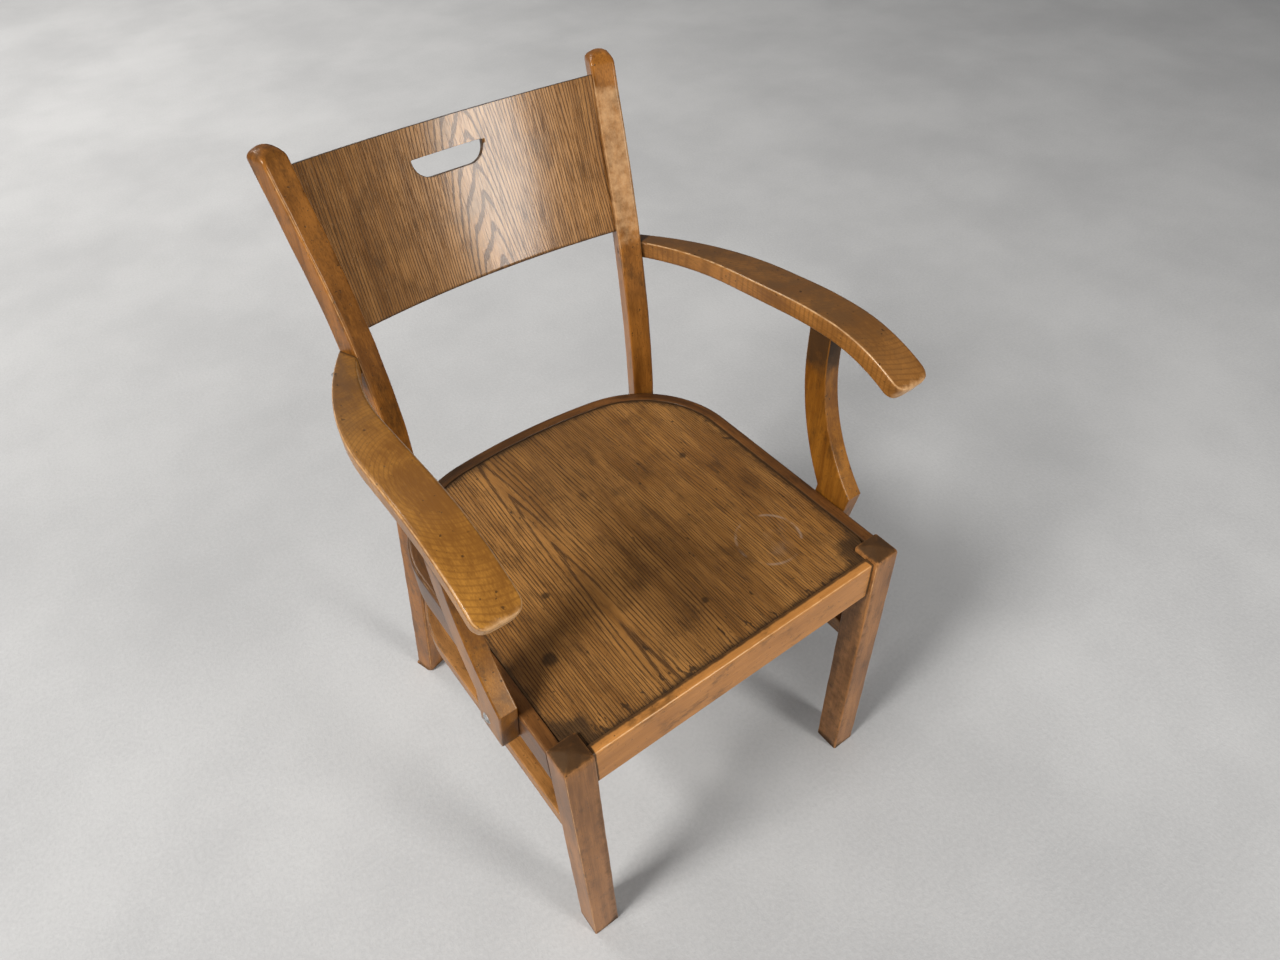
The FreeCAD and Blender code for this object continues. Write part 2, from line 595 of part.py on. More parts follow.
def make_support():
    """Curved board on the outside of the hoop, under the arm, on the +X side."""
    board = prism(support_side(), vec(SUPPORT_THICKNESS, 0))
    board.translate(vec(HALF_WIDTH, 0))
    return board


def make_corner_block():
    """Three-cornered block in the front corner of the seat frame, round the leg."""
    corner = vec(HALF_WIDTH - HOOP_THICKNESS, RAIL_FRONT_Y + RAIL_THICKNESS)
    a = corner - vec(BLOCK_LEG, 0)
    b = corner + vec(0, BLOCK_LEG)
    wedge = Part.Face(Part.makePolygon([corner, a, b, corner])).extrude(vec(0, 0, -BLOCK_HEIGHT))
    wedge.translate(vec(0, 0, REBATE_FLOOR))
    leg_space = box(LEG_INNER_X, FAR, -FAR, LEG_REAR_Y, -FAR, FAR)
    return tilted(wedge.cut(leg_space))


def screw(head, direction, length):
    """Countersunk screw with its flat head at a point, pointing along a direction."""
    cone = Part.makeCone(SCREW_HEAD_RADIUS, SCREW_RADIUS, SCREW_HEAD_DEPTH, head, direction)
    unit = vec(direction.x, direction.y, direction.z).normalize()
    start = head + unit * SCREW_HEAD_DEPTH
    shank = Part.makeCylinder(SCREW_RADIUS, length - SCREW_HEAD_DEPTH, start, direction)
    return cone.fuse(shank).removeSplitter()


def hoop_screws():
    """One screw on the +X side, from inside the seat hoop into the rear post."""
    outward = vec(math.cos(ARRIS_ANGLE), math.sin(ARRIS_ANGLE))
    aim = SEAT_PLAN.corner_point(ARRIS_ANGLE - math.radians(2.0), HOOP_THICKNESS)
    middle = vec(0, 0, RAIL_TOP - RAIL_HEIGHT / 2)
    return [tilted(screw(aim + middle, outward, POST_SCREW_LENGTH))]


def stretcher_screws():
    """One screw on the +X side, from inside the stretcher into the rear post."""
    plan = stretcher_plan()
    middle = -STRETCHER_TOP - STRETCHER_HEIGHT / 2
    arris = post_point(0, 0, SHOULDER_HEIGHT + middle)
    angle = math.acos((arris.x - plan.corner.x) / plan.corner_radius) - math.radians(2.0)
    outward = vec(math.cos(angle), math.sin(angle))
    head = plan.corner_point(angle, STRETCHER_THICKNESS) + vec(0, 0, middle)
    return [tilted(screw(head, outward, STRETCHER_SCREW_LENGTH))]


def arm_screws():
    """One screw on the +X side, through the rear post into the end of the arm."""
    level = arm_level(ARRIS_ON_RIM.y + POST_DEPTH / 2, ARM_THICKNESS / 2).z
    head = post_point(0, POST_DEPTH / 3, level)
    end = post_point(POST_WIDTH, POST_DEPTH / 3, level)
    return [screw(head, end - head, ARM_SCREW_LENGTH)]


def arm_dowels():
    """Dowel on the +X side, from the support up into the arm."""
    x = HALF_WIDTH + SUPPORT_THICKNESS / 2
    y = (SUPPORT_FRONT_Y + SUPPORT_REAR_Y) / 2
    foot = vec(x, y, ARM_CREST_HEIGHT - ARM_THICKNESS - DOWEL_LENGTH / 2)
    return [Part.makeCylinder(DOWEL_RADIUS, DOWEL_LENGTH, foot, vec(0, 0, 1))]


def bolt_axis(distance):
    """Point on the support bolt's axis, at a distance inwards from the support's outer face."""
    return vec(HALF_WIDTH + SUPPORT_THICKNESS - distance, BOLT_Y, BOLT_HEIGHT)


def support_bolts():
    """Domed bolt on the +X side, through the support and the seat hoop."""
    grip = SUPPORT_THICKNESS + HOOP_THICKNESS
    length = grip + WASHER_THICKNESS + NUT_THICKNESS + BOLT_PAST_NUT
    shank = Part.makeCylinder(BOLT_RADIUS, length, bolt_axis(0), vec(-1, 0))
    ball = (BOLT_HEAD_RADIUS ** 2 + BOLT_HEAD_RISE ** 2) / (2 * BOLT_HEAD_RISE)
    dome = Part.makeSphere(ball, bolt_axis(ball - BOLT_HEAD_RISE))
    cap = dome.common(Part.makeCylinder(2 * BOLT_HEAD_RADIUS, FAR, bolt_axis(0), vec(1, 0)))
    return [cap.fuse(shank).removeSplitter()]


def support_washers():
    """Washer on the +X side, inside the seat hoop."""
    start = bolt_axis(SUPPORT_THICKNESS + HOOP_THICKNESS)
    disc = Part.makeCylinder(WASHER_RADIUS, WASHER_THICKNESS, start, vec(-1, 0))
    return [disc.cut(support_bolts()[0])]


def support_nuts():
    """Hexagonal nut on the +X side, on the washer."""
    start = bolt_axis(SUPPORT_THICKNESS + HOOP_THICKNESS + WASHER_THICKNESS)
    radius = NUT_ACROSS_FLATS / math.sqrt(3)
    corners = []
    for step in range(7):
        angle = math.radians(60 * step)
        corners.append(start + vec(0, radius * math.cos(angle), radius * math.sin(angle)))
    nut = Part.Face(Part.makePolygon(corners)).extrude(vec(-NUT_THICKNESS, 0))
    return [nut.cut(support_bolts()[0])]


def both_sides(solids):
    """The same solids on both sides of the chair."""
    return solids + [mirrored(s) for s in solids]


def build():
    """Shape every piece on the +X side, cut the joints, and mirror the pairs."""
    post = make_post()
    leg = make_front_leg()
    seat_hoop = make_seat_hoop()
    front_rail = make_front_rail()
    stretcher = make_stretcher()
    back_panel = make_back_panel()
    arm = make_arm()
    support = make_support().cut(arm)
    block = make_corner_block()
    posts = [post, mirrored(post)]
    rod = {
        "hoop_screws": hoop_screws(),
        "stretcher_screws": stretcher_screws(),
        "arm_screws": arm_screws(),
        "arm_dowels": arm_dowels(),
        "support_bolts": support_bolts(),
    }
    both = {name: both_sides(solids) for name, solids in rod.items()}
    seat_hoop = seat_hoop.cut(posts)
    stretcher = stretcher.cut(posts)
    seat_hoop = seat_hoop.cut(both["hoop_screws"] + both["support_bolts"])
    stretcher = stretcher.cut(both["stretcher_screws"])
    post = post.cut([back_panel] + rod["hoop_screws"] + rod["stretcher_screws"] + rod["arm_screws"])
    leg = leg.cut([seat_hoop, front_rail, stretcher])
    arm = arm.cut(rod["arm_screws"] + rod["arm_dowels"])
    support = support.cut(rod["arm_dowels"] + rod["support_bolts"])
    return {
        "front_leg_left": leg,
        "front_leg_right": mirrored(leg),
        "rear_post_left": post,
        "rear_post_right": mirrored(post),
        "seat_hoop": seat_hoop,
        "seat_front_rail": front_rail,
        "seat_panel": make_seat_panel(),
        "back_panel": back_panel,
        "arm_left": arm,
        "arm_right": mirrored(arm),
        "arm_support_left": support,
        "arm_support_right": mirrored(support),
        "stretcher_hoop": stretcher,
        "corner_block_left": block,
        "corner_block_right": mirrored(block),
        "support_bolts": Part.makeCompound(both["support_bolts"]),
        "support_washers": Part.makeCompound(both_sides(support_washers())),
        "support_nuts": Part.makeCompound(both_sides(support_nuts())),
        "arm_dowels": Part.makeCompound(both["arm_dowels"]),
        "arm_screws": Part.makeCompound(both["arm_screws"]),
        "hoop_screws": Part.makeCompound(both["hoop_screws"]),
        "stretcher_screws": Part.makeCompound(both["stretcher_screws"]),
    }


pieces = build()
boxes = [piece.optimalBoundingBox() for piece in pieces.values()]
centre_y = (min(b.YMin for b in boxes) + max(b.YMax for b in boxes)) / 2
print("moved by", round(-centre_y, 3))
for name, piece in pieces.items():
    piece.translate(vec(0, -centre_y))
    piece.exportStep("parts/" + name + ".step")
    print(name, len(piece.Solids), "solids", round(piece.Volume / 1000, 1), "cm3")
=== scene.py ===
import math

import bpy
import numpy as np
from mathutils import Matrix, Vector


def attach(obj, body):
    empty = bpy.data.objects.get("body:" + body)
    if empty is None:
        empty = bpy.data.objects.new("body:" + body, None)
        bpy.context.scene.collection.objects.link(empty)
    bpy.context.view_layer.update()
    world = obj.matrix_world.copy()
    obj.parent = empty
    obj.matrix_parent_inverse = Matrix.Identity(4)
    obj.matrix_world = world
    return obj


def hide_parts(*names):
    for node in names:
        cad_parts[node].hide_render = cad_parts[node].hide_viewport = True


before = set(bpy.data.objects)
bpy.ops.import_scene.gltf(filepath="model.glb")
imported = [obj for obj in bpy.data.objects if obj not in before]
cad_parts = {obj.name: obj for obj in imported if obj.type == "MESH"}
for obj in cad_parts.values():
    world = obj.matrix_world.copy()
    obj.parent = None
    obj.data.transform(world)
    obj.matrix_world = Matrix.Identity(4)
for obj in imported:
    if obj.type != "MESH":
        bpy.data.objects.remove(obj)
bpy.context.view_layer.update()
scene = bpy.context.scene
scene.view_settings.view_transform = "Standard"

# The viewpoint: a wide lens held above and to the left of the chair, looking down at it.
# Its place and turn were worked out from the chair's square legs and its mirrored pairs.
CAMERA_PLACE = (-0.4134, -0.6749, 1.2945)
CAMERA_TURN = math.radians(-35.09)     # anticlockwise from looking along +Y
CAMERA_DROP = math.radians(45.41)
CAMERA_ROLL = math.radians(-1.76)
CAMERA_LENS = 24.64
FILM_WIDTH = 36.0
FARTHEST_SEEN = 60.0

lens = bpy.data.cameras.new("camera")
lens.sensor_width = FILM_WIDTH
lens.lens = CAMERA_LENS
lens.clip_end = FARTHEST_SEEN
camera = bpy.data.objects.new("camera", lens)
camera.matrix_world = (Matrix.Translation(CAMERA_PLACE) @ Matrix.Rotation(CAMERA_TURN, 4, "Z")
                       @ Matrix.Rotation(math.pi / 2 - CAMERA_DROP, 4, "X")
                       @ Matrix.Rotation(CAMERA_ROLL, 4, "Z"))
scene.collection.objects.link(camera)
scene.camera = camera

# The studio: a large soft lamp high on the left, a tall one low in front, which the
# varnished back mirrors, and one over the ground behind. A grey surround fills the shadows.
SURROUND_STRENGTH = 0.16
SURROUND_COLOUR = (0.93, 0.95, 1.0, 1.0)
CHAIR_MIDDLE = (0.0, 0.0, 0.45)
GROUND_BEHIND = (1.20, 4.80, 0.0)
LAMPS = {
    "key": {"place": (-4.40, -0.30, 4.40), "size": (1.95, 1.95), "power": 450.0,
            "aim": CHAIR_MIDDLE},
    "front": {"place": (1.16, -3.71, 1.60), "size": (1.00, 1.75), "power": 114.0,
              "aim": CHAIR_MIDDLE},
    "rear": {"place": (-1.00, 3.60, 3.40), "size": (2.00, 2.00), "power": 150.0,
             "aim": GROUND_BEHIND},
}
LAMP_COLOUR = (1.0, 0.98, 0.955)

world = bpy.data.worlds.new("surround")
scene.world = world
world.use_nodes = True
surround = world.node_tree.nodes["Background"]
surround.inputs["Color"].default_value = SURROUND_COLOUR
surround.inputs["Strength"].default_value = SURROUND_STRENGTH
for name, lamp in LAMPS.items():
    light = bpy.data.lights.new(name, "AREA")
    light.shape = "ELLIPSE"
    light.size, light.size_y = lamp["size"]
    light.energy = lamp["power"]
    light.color = LAMP_COLOUR
    holder = bpy.data.objects.new(name, light)
    holder.location = lamp["place"]
    beam = Vector(lamp["aim"]) - holder.location
    holder.rotation_euler = beam.to_track_quat("-Z", "Y").to_euler()
    scene.collection.objects.link(holder)


# The floor: a plain pale grey ground, which is not part of the chair. The two classes here
# write every material in the file: Tone does sums on a node's number, Finish adds nodes.
FLOOR_REACH = 9.0
FLOOR_PALE = (0.45, 0.45, 0.447, 1.0)
FLOOR_DULL = (0.37, 0.37, 0.37, 1.0)


class Tone:
    """What a node gives, wrapped so that sums on it are written as ordinary expressions."""

    def __init__(self, finish, socket):
        self.finish = finish
        self.socket = socket

    def joined(self, operation, *values):
        return self.finish.node("ShaderNodeMath", dict(enumerate(values)), operation=operation)

    def __add__(self, other):
        return self.joined("ADD", self, other)

    def __radd__(self, other):
        return self.joined("ADD", other, self)

    def __sub__(self, other):
        return self.joined("SUBTRACT", self, other)

    def __rsub__(self, other):
        return self.joined("SUBTRACT", other, self)

    def __mul__(self, other):
        return self.joined("MULTIPLY", self, other)

    def __rmul__(self, other):
        return self.joined("MULTIPLY", other, self)

    def __abs__(self):
        return self.joined("ABSOLUTE", self)

    def root(self):
        return self.joined("POWER", self, 0.5)

    def sine(self):
        return self.joined("SINE", self)

    def ramp(self, low, high):
        """0 below low, 1 above high, and an S-curve between; low may be the larger."""
        limits = {"Value": self, "From Min": low, "From Max": high}
        return self.finish.node("ShaderNodeMapRange", limits, interpolation_type="SMOOTHSTEP")


class Finish:
    """A procedural material; node() adds every node, setting it before it is wired."""

    def __init__(self, name):
        self.material = bpy.data.materials.new(name)
        self.material.use_nodes = True
        self.tree = self.material.node_tree
        self.tree.nodes.clear()

    def node(self, kind, inputs=None, output=0, **settings):
        made = self.tree.nodes.new(kind)
        for setting, value in settings.items():
            setattr(made, setting, value)
        for key, value in (inputs or {}).items():
            if isinstance(value, Tone):
                self.tree.links.new(value.socket, made.inputs[key])
            else:
                made.inputs[key].default_value = value
        return Tone(self, made.outputs[output]) if made.outputs else None

    def place(self):
        """Place on the object, which is also its place in the chair."""
        return self.node("ShaderNodeTexCoord", output=3)

    def carried(self, name):
        """What the mesh carries under a name: a vector for grain, else one number."""
        output = 1 if name == "grain" else 2
        return self.node("ShaderNodeAttribute", output=output, attribute_name=name)

    def part(self, vector, axis):
        return self.node("ShaderNodeSeparateXYZ", {0: vector}, output="XYZ".index(axis))

    def moved(self, vector, move=(0, 0, 0), stretch=(1, 1, 1)):
        """The vector stretched along its axes and then moved."""
        sockets = {"Vector": vector, "Location": move, "Scale": stretch}
        return self.node("ShaderNodeMapping", sockets)

    def noise(self, vector, scale, detail=3.0, roughness=0.5, warp=0.0):
        sockets = {"Vector": vector, "Scale": scale, "Detail": detail, "Roughness": roughness,
                   "Distortion": warp}
        return self.node("ShaderNodeTexNoise", sockets)

    def fibres(self, grain, stretch, scale, detail=3.0, roughness=0.5, warp=0.0):
        """Noise drawn out along the grain: the smaller the stretch, the longer its marks."""
        drawn_out = self.moved(grain, stretch=(stretch, 1, 1))
        return self.noise(drawn_out, scale, detail, roughness, warp)

    def blend(self, mask, first, second):
        """Colour that goes from first to second as the mask goes from 0 to 1."""
        sockets = {0: mask, 6: first, 7: second}
        return self.node("ShaderNodeMix", sockets, output=2, data_type="RGBA")

    def surface(self, colour, roughness, height=None, depth=0.0, **fixed):
        """Principled surface; height drives a bump, and fixed holds constant sockets."""
        sockets = {"Base Color": colour, "Roughness": roughness}
        if height is not None:
            sockets["Normal"] = self.node("ShaderNodeBump", {"Height": height, "Distance": depth})
        for name, value in fixed.items():
            sockets[name.replace("_", " ").title().replace("Ior", "IOR")] = value
        shader = self.node("ShaderNodeBsdfPrincipled", sockets)
        self.node("ShaderNodeOutputMaterial", {"Surface": shader})
        return self.material


def plain_ground():
    """Pale matt ground: soft clouds of two greys under a fine grit."""
    finish = Finish("plain_ground")
    place = finish.place()
    cloudy = finish.noise(place, 2.2, 5.0, 0.6)
    grit = finish.noise(place, 160.0, 3.0, 0.7)
    colour = finish.blend((cloudy * 0.7 + grit * 0.4).ramp(0.35, 0.75), FLOOR_DULL, FLOOR_PALE)
    return finish.surface(colour, 0.85, grit, 0.0006)


ground = bpy.data.meshes.new("ground")
ground.from_pydata([(-FLOOR_REACH, -FLOOR_REACH, 0), (FLOOR_REACH, -FLOOR_REACH, 0),
                    (FLOOR_REACH, FLOOR_REACH, 0), (-FLOOR_REACH, FLOOR_REACH, 0)],
                   [], [(0, 1, 2, 3)])
ground.materials.append(plain_ground())
floor = bpy.data.objects.new("ground", ground)
scene.collection.objects.link(floor)

# Front legs: two square beech legs, square to the tilted seat frame, with softened corners
# and a low worn pyramid of end grain above the shoulder. Both hoops and the rail are
# tenoned into them.
SEAT_TILT = math.radians(1.45)
SHOULDER = 0.450
LEG_FRONT = -0.2815
FRONT_TO_MIDDLE = -0.007676            # puts the middle of the chair's box at Y = 0
HALF_FRAME = 0.2475
LEG_SIZE = 0.038
LEG_ARRIS = 0.0022
LEG_POINT_RISE = 0.005
LEG_POINT_HALF = 0.0035
LEG_FOOT = -0.4530                     # heights on the leg are counted from the shoulder
LEG_FOOT_EDGE = -0.4495
LEG_NECK = -0.0030
INNER_FACE_SHADE_AND_DIRT = 0.42
BELOW_RAIL = -0.060
TAN_LIGHT = (0.335, 0.146, 0.045, 1.0)
TAN_DEEP = (0.135, 0.052, 0.012, 1.0)
BARE_WOOD = (0.56, 0.34, 0.165, 1.0)
# Dark brown for dirt, pits and stains, and for painted shade in joints and creases.
DIRT_AND_SHADE_DARK = (0.028, 0.013, 0.005, 1.0)
WARM_SHEEN = (1.0, 0.80, 0.55, 1.0)
SHARP_EDGE = math.radians(42)


def in_seat_frame(across, back, up):
    """Chair coordinates of seat-frame ones: turned by the tilt about the shoulder line."""
    y = LEG_FRONT + FRONT_TO_MIDDLE + back * math.cos(SEAT_TILT) + up * math.sin(SEAT_TILT)
    z = SHOULDER - back * math.sin(SEAT_TILT) + up * math.cos(SEAT_TILT)
    return np.stack(np.broadcast_arrays(across, y, z), -1)


def section_loop(steps=4, flats=(0.03, 0.08, 0.5, 0.92, 0.97)):
    """Loop of a rounded rectangle. Point j lies at (u (a - r) + c r, v (b - r) + s r) for
    half sides a, b and corner radius r; edge is 1 half way round each corner, 0 off it."""
    turn = np.linspace(0, math.pi / 2, steps + 1)
    flats = np.array(flats)
    u, v, c, s, edge = [], [], [], [], []
    corners = [(1, 1), (-1, 1), (-1, -1), (1, -1), (1, 1)]
    for k in range(4):
        (u0, v0), (u1, v1) = corners[k], corners[k + 1]
        angle = np.concatenate([turn, np.full(len(flats), math.pi / 2)]) + k * math.pi / 2
        along = np.concatenate([np.zeros(steps + 1), flats])
        u.append(u0 + (u1 - u0) * along)
        v.append(v0 + (v1 - v0) * along)
        c.append(np.cos(angle))
        s.append(np.sin(angle))
        edge.append(np.where(along > 0, 0.0, np.sin(2 * (angle - angle[0])) ** 2))
    return [np.concatenate(values) for values in (u, v, c, s, edge)]


def skin(name, rings, grain, wear_and_shade, closed=False):
    """Closed skin over a stack of rings, (n, m, 3): four-sided faces join each ring to the
    next, and a fan closes each end, or the last ring joins the first where closed is set.
    grain, the same shape, is the place in the board in metres, along, across and deep.
    The wear values, (n, m), go from 1, rubbed bare, to -1, darkened by dirt and painted
    shade. Faces point outwards."""
    n, m = rings.shape[:2]
    ring = np.arange(n if closed else n - 1)[:, None]
    row, next_row = ring * m, (ring + 1) % n * m
    column = np.arange(m)
    after = (column + 1) % m
    corners = row + column, row + after, next_row + after, next_row + column
    quads = np.stack(corners, -1).reshape(-1, 4)
    points = rings.reshape(-1, 3)
    grains = grain.reshape(-1, 3)
    wear_and_shade_values = wear_and_shade.reshape(-1)
    fans = np.zeros((0, 3), int)
    if not closed:
        points = np.concatenate([points, rings[[0, -1]].mean(1)])
        grains = np.concatenate([grains, grain[[0, -1]].mean(1)])
        wear_and_shade_values = np.concatenate([wear_and_shade_values, wear_and_shade[[0, -1]].mean(1)])
        first = np.stack([np.full(m, n * m), after, column], -1)
        last = np.stack([np.full(m, n * m + 1), column, after], -1)
        last[:, 1:] += (n - 1) * m
        fans = np.concatenate([first, last])
    triangles = np.concatenate([quads[:, :3], quads[:, [0, 2, 3]], fans])
    a, b, c = (points[triangles[:, k]] for k in range(3))
    if np.einsum("ij,ij->i", a, np.cross(b, c)).sum() < 0:
        quads = quads[:, ::-1]
        fans = fans[:, ::-1]
    mesh = bpy.data.meshes.new(name)
    mesh.from_pydata(points.tolist(), [], quads.tolist() + fans.tolist())
    places_in_board = mesh.attributes.new("grain", "FLOAT_VECTOR", "POINT")
    places_in_board.data.foreach_set("vector", grains.ravel())
    mesh.attributes.new("wear_and_shade", "FLOAT", "POINT").data.foreach_set("value", wear_and_shade_values)
    mesh.polygons.foreach_set("use_smooth", np.ones(len(mesh.polygons), bool))
    mesh.set_sharp_from_angle(angle=SHARP_EDGE)
    mesh.update()
    piece = bpy.data.objects.new(name, mesh)
    scene.collection.objects.link(piece)
    return piece


def fitted(piece, node, material):
    """Puts a finished piece in the place of its CAD node."""
    piece.data.materials.append(material)
    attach(piece, "root")
    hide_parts(node)


def waver(along, step, seed):
    """Slow unevenness of a hand-eased corner, -1 to 1: three sines of unlike lengths."""
    return (np.sin(along / step + seed) + np.sin(along / step * 2.3 + 3 * seed)
            + np.sin(along / step * 4.1 + 7 * seed)) / 3


def beech(name, light, deep, seed, worn=1.0, gloss=0.30):
    """Stained beech: stretched noise gives fibre, broad noise gives blotches, short dark
    flecks show the rays, rubbed corners go to bare wood, and dirt and painted shade
    darken the joints and creases."""
    finish = Finish(name)
    grain = finish.moved(finish.carried("grain"), (seed, seed * 0.7, 0.0))
    fibre = finish.fibres(grain, 0.035, 620.0, 3.0, 0.6)
    streak = finish.fibres(grain, 0.10, 70.0, 4.0, 0.55, 0.2)
    blotch = finish.fibres(grain, 0.5, 11.0, 4.0, 0.6)
    fleck = finish.fibres(grain, 0.16, 900.0, 1.0, 0.4)
    soiled = finish.fibres(grain, 0.5, 48.0, 5.0, 0.7)
    pits = finish.noise(grain, 210.0, 2.0, 0.5)
    rubbed = finish.noise(grain, 75.0, 4.0, 0.65)
    shade = streak * 0.45 + fibre * 0.25 + blotch * 0.5
    colour = finish.blend(shade.ramp(0.42, 0.78), deep, light)
    colour = finish.blend(fleck.ramp(0.60, 0.74) * 0.65, colour, deep)
    colour = finish.blend(soiled.ramp(0.50, 0.70) * 0.55, colour, DIRT_AND_SHADE_DARK)
    colour = finish.blend(pits.ramp(0.665, 0.735) * 0.75, colour, DIRT_AND_SHADE_DARK)
    wear_and_shade = finish.carried("wear_and_shade")
    bare = (wear_and_shade * 0.80 + rubbed * 0.62).ramp(0.80, 1.28) * worn
    # Dirt, and painted shade where the wear value is below zero.
    grime_and_shade = (rubbed * 0.7 - wear_and_shade * 0.9).ramp(0.55, 1.10)
    colour = finish.blend(bare, colour, BARE_WOOD)
    colour = finish.blend(grime_and_shade * 0.88, colour, DIRT_AND_SHADE_DARK)
    roughness = gloss + blotch * 0.16 + bare * 0.15 + grime_and_shade * 0.25
    height = fibre * 0.35 + streak * 0.3 - pits.ramp(0.68, 0.8) * 0.6
    return finish.surface(colour, roughness, height, 0.0003, specular_ior_level=0.30,
                          specular_tint=WARM_SHEEN, coat_weight=0.12, coat_roughness=0.16)


leg_u, leg_v, leg_c, leg_s, leg_edge = section_loop()
half_leg = LEG_SIZE / 2
leg_up = np.concatenate([[LEG_FOOT], np.linspace(LEG_FOOT_EDGE, LEG_NECK, 60), [-0.0012, 0.0],
                         np.linspace(0.0008, LEG_POINT_RISE, 6)])[:, None]
leg_half = np.interp(leg_up, [LEG_FOOT, LEG_FOOT_EDGE, LEG_NECK, 0.0, LEG_POINT_RISE],
                     [half_leg - 0.0012, half_leg, half_leg, half_leg - 0.0010, LEG_POINT_HALF])
for side, hand in (("left", 1), ("right", -1)):
    arris = LEG_ARRIS * (1 + 0.35 * waver(leg_up, 0.031, hand + 2.0))
    arris = np.minimum(arris, leg_half * 0.8)
    across = leg_u * (leg_half - arris) + leg_c * arris
    back = leg_v * (leg_half - arris) + leg_s * arris
    rings = in_seat_frame(hand * (HALF_FRAME - half_leg) + across, half_leg + back, leg_up)
    rings[..., 2] = np.maximum(rings[..., 2], 0.0)
    grain = np.stack([np.broadcast_to(leg_up, across.shape), across, back], -1)
    ends = np.interp(leg_up, [-0.452, -0.435, -0.006, -0.001, 0.001],
                     [-0.75, 0.0, 0.0, -0.30, -0.85])
    wear_and_shade = leg_edge * np.interp(leg_up, [-0.43, -0.003, 0.001], [1.0, 1.0, 0.05]) + ends
    # Painted shade under the seat, with old dirty varnish: inner faces below the rail go darker.
    wear_and_shade = wear_and_shade - INNER_FACE_SHADE_AND_DIRT * (leg_u * hand < -0.8) * (leg_up < BELOW_RAIL)
    leg = skin("front_leg_" + side + "_wood", rings, grain, wear_and_shade)
    fitted(leg, "front_leg_" + side,
           beech("beech_front_leg_" + side, TAN_LIGHT, TAN_DEEP, 1.3 * hand, 0.9, 0.30))

# Front rail: a straight beech rail tenoned between the front legs, set back from their
# faces. Half of its top shows in front of the panel, and its upper corner is rubbed.
RAIL_SETBACK = 0.005
RAIL_THICK = 0.026
RAIL_HEIGHT = 0.060
RAIL_TOP = -0.004
RAIL_BORDER = 0.013
RAIL_HOLLOWS = 0.0006
PANEL_SEAT = -0.013                    # floor of the rebate that the panel lies in
RAIL_BRIGHT = (0.46, 0.200, 0.052, 1.0)
RAIL_DEEP = (0.30, 0.122, 0.028, 1.0)
BESIDE_ARC = 0.0015
OFF_ARC = 0.005


def rounded_profile(corners, steps=4):
    """Closed outline through corners (a, b, radius): each corner is an arc tangent to both
    sides, and flats get points near their ends and in the middle. Returns the points
    (m, 2), and edge, which is 1 half way round each arc and 0 off it."""
    spots = np.array([corner[:2] for corner in corners], float)
    radii = [corner[2] for corner in corners]
    points, edge = [], []
    for k, (spot, radius) in enumerate(zip(spots, radii)):
        before, after = spots[k - 1] - spot, spots[(k + 1) % len(spots)] - spot
        before, after = before / np.linalg.norm(before), after / np.linalg.norm(after)
        opening = math.acos(np.clip(before @ after, -1, 1))
        cut = radius / math.tan(opening / 2)
        bisector = (before + after) / np.linalg.norm(before + after)
        middle = spot + bisector * radius / math.sin(opening / 2)
        start, end = spot + before * cut - middle, spot + after * cut - middle
        turn = np.linspace(0, 1, steps + 1)[:, None] if radius else np.zeros((1, 1))
        span = math.pi - opening
        arc = (np.sin((1 - turn) * span) * start + np.sin(turn * span) * end) / math.sin(span)
        points.append(middle + arc)
        edge.append(np.sin(math.pi * turn[:, 0]) ** 2)
        following = spots[(k + 1) % len(spots)]
        next_radius = radii[(k + 1) % len(spots)]
        length = np.linalg.norm(following - spot)
        last = length - next_radius
        stops = np.array([cut + BESIDE_ARC, cut + OFF_ARC, length / 2, last - OFF_ARC,
                          last - BESIDE_ARC])
        stops = stops[(stops > cut) & (stops < last) & (np.diff(stops, prepend=-1) > 0)]
        points.append(spot + after * stops[:, None])
        edge.append(np.zeros(len(stops)))
    return np.concatenate(points), np.concatenate(edge)


rail_outline, rail_edge = rounded_profile([
    (RAIL_SETBACK, RAIL_TOP - RAIL_HEIGHT, 0.0015),
    (RAIL_SETBACK + RAIL_THICK, RAIL_TOP - RAIL_HEIGHT, 0.001),
    (RAIL_SETBACK + RAIL_THICK, PANEL_SEAT, 0.0),
    (RAIL_SETBACK + RAIL_BORDER, PANEL_SEAT, 0.0),
    (RAIL_SETBACK + RAIL_BORDER, RAIL_TOP, 0.0008),
    (RAIL_SETBACK, RAIL_TOP, 0.0032),
])
rail_half = HALF_FRAME - LEG_SIZE
rail_run = np.linspace(-rail_half, rail_half, 160)[:, None]
rail_back, rail_level = rail_outline[:, 0], rail_outline[:, 1]
upper_corner = (rail_level > RAIL_TOP - 0.004) & (rail_back < RAIL_SETBACK + 0.006)
rail_up = rail_level - np.abs(RAIL_HOLLOWS * waver(rail_run, 0.017, 1.7)) * upper_corner
rings = in_seat_frame(rail_run, rail_back, rail_up)
grain = np.stack(np.broadcast_arrays(rail_run, rail_up, rail_back), -1)
rubbed_corner = rail_edge * (rail_back < RAIL_SETBACK + 0.008)
beside_panel = (rail_back > RAIL_SETBACK + 0.009) * 0.8
# Dirt and painted shade: dark in the joints with the legs at both ends and in the crease beside
# the panel.
wear_and_shade = np.where(np.abs(rail_run) > rail_half - 0.0035, -1.0, rubbed_corner - beside_panel)
rail = skin("seat_front_rail_wood", rings, grain, wear_and_shade)
fitted(rail, "seat_front_rail",
       beech("beech_front_rail", RAIL_BRIGHT, RAIL_DEEP, 4.1, 0.9, 0.28))

# Seat hoop: one beech bar, steam-bent round the sides and back of the seat. Its rim stands
# round the panel, with a rubbed outer shoulder; the angle beside the panel has dirt and
# painted shade.
HOOP_THICK = 0.028
HOOP_CORNER = 0.155
HOOP_REAR = 0.800
SEAT_DEPTH = 0.498
RIM_WIDTH = 0.018
RIM_ROUND = 0.0045
HOOP_ORANGE = (0.170, 0.066, 0.016, 1.0)
HOOP_BROWN = (0.050, 0.019, 0.006, 1.0)


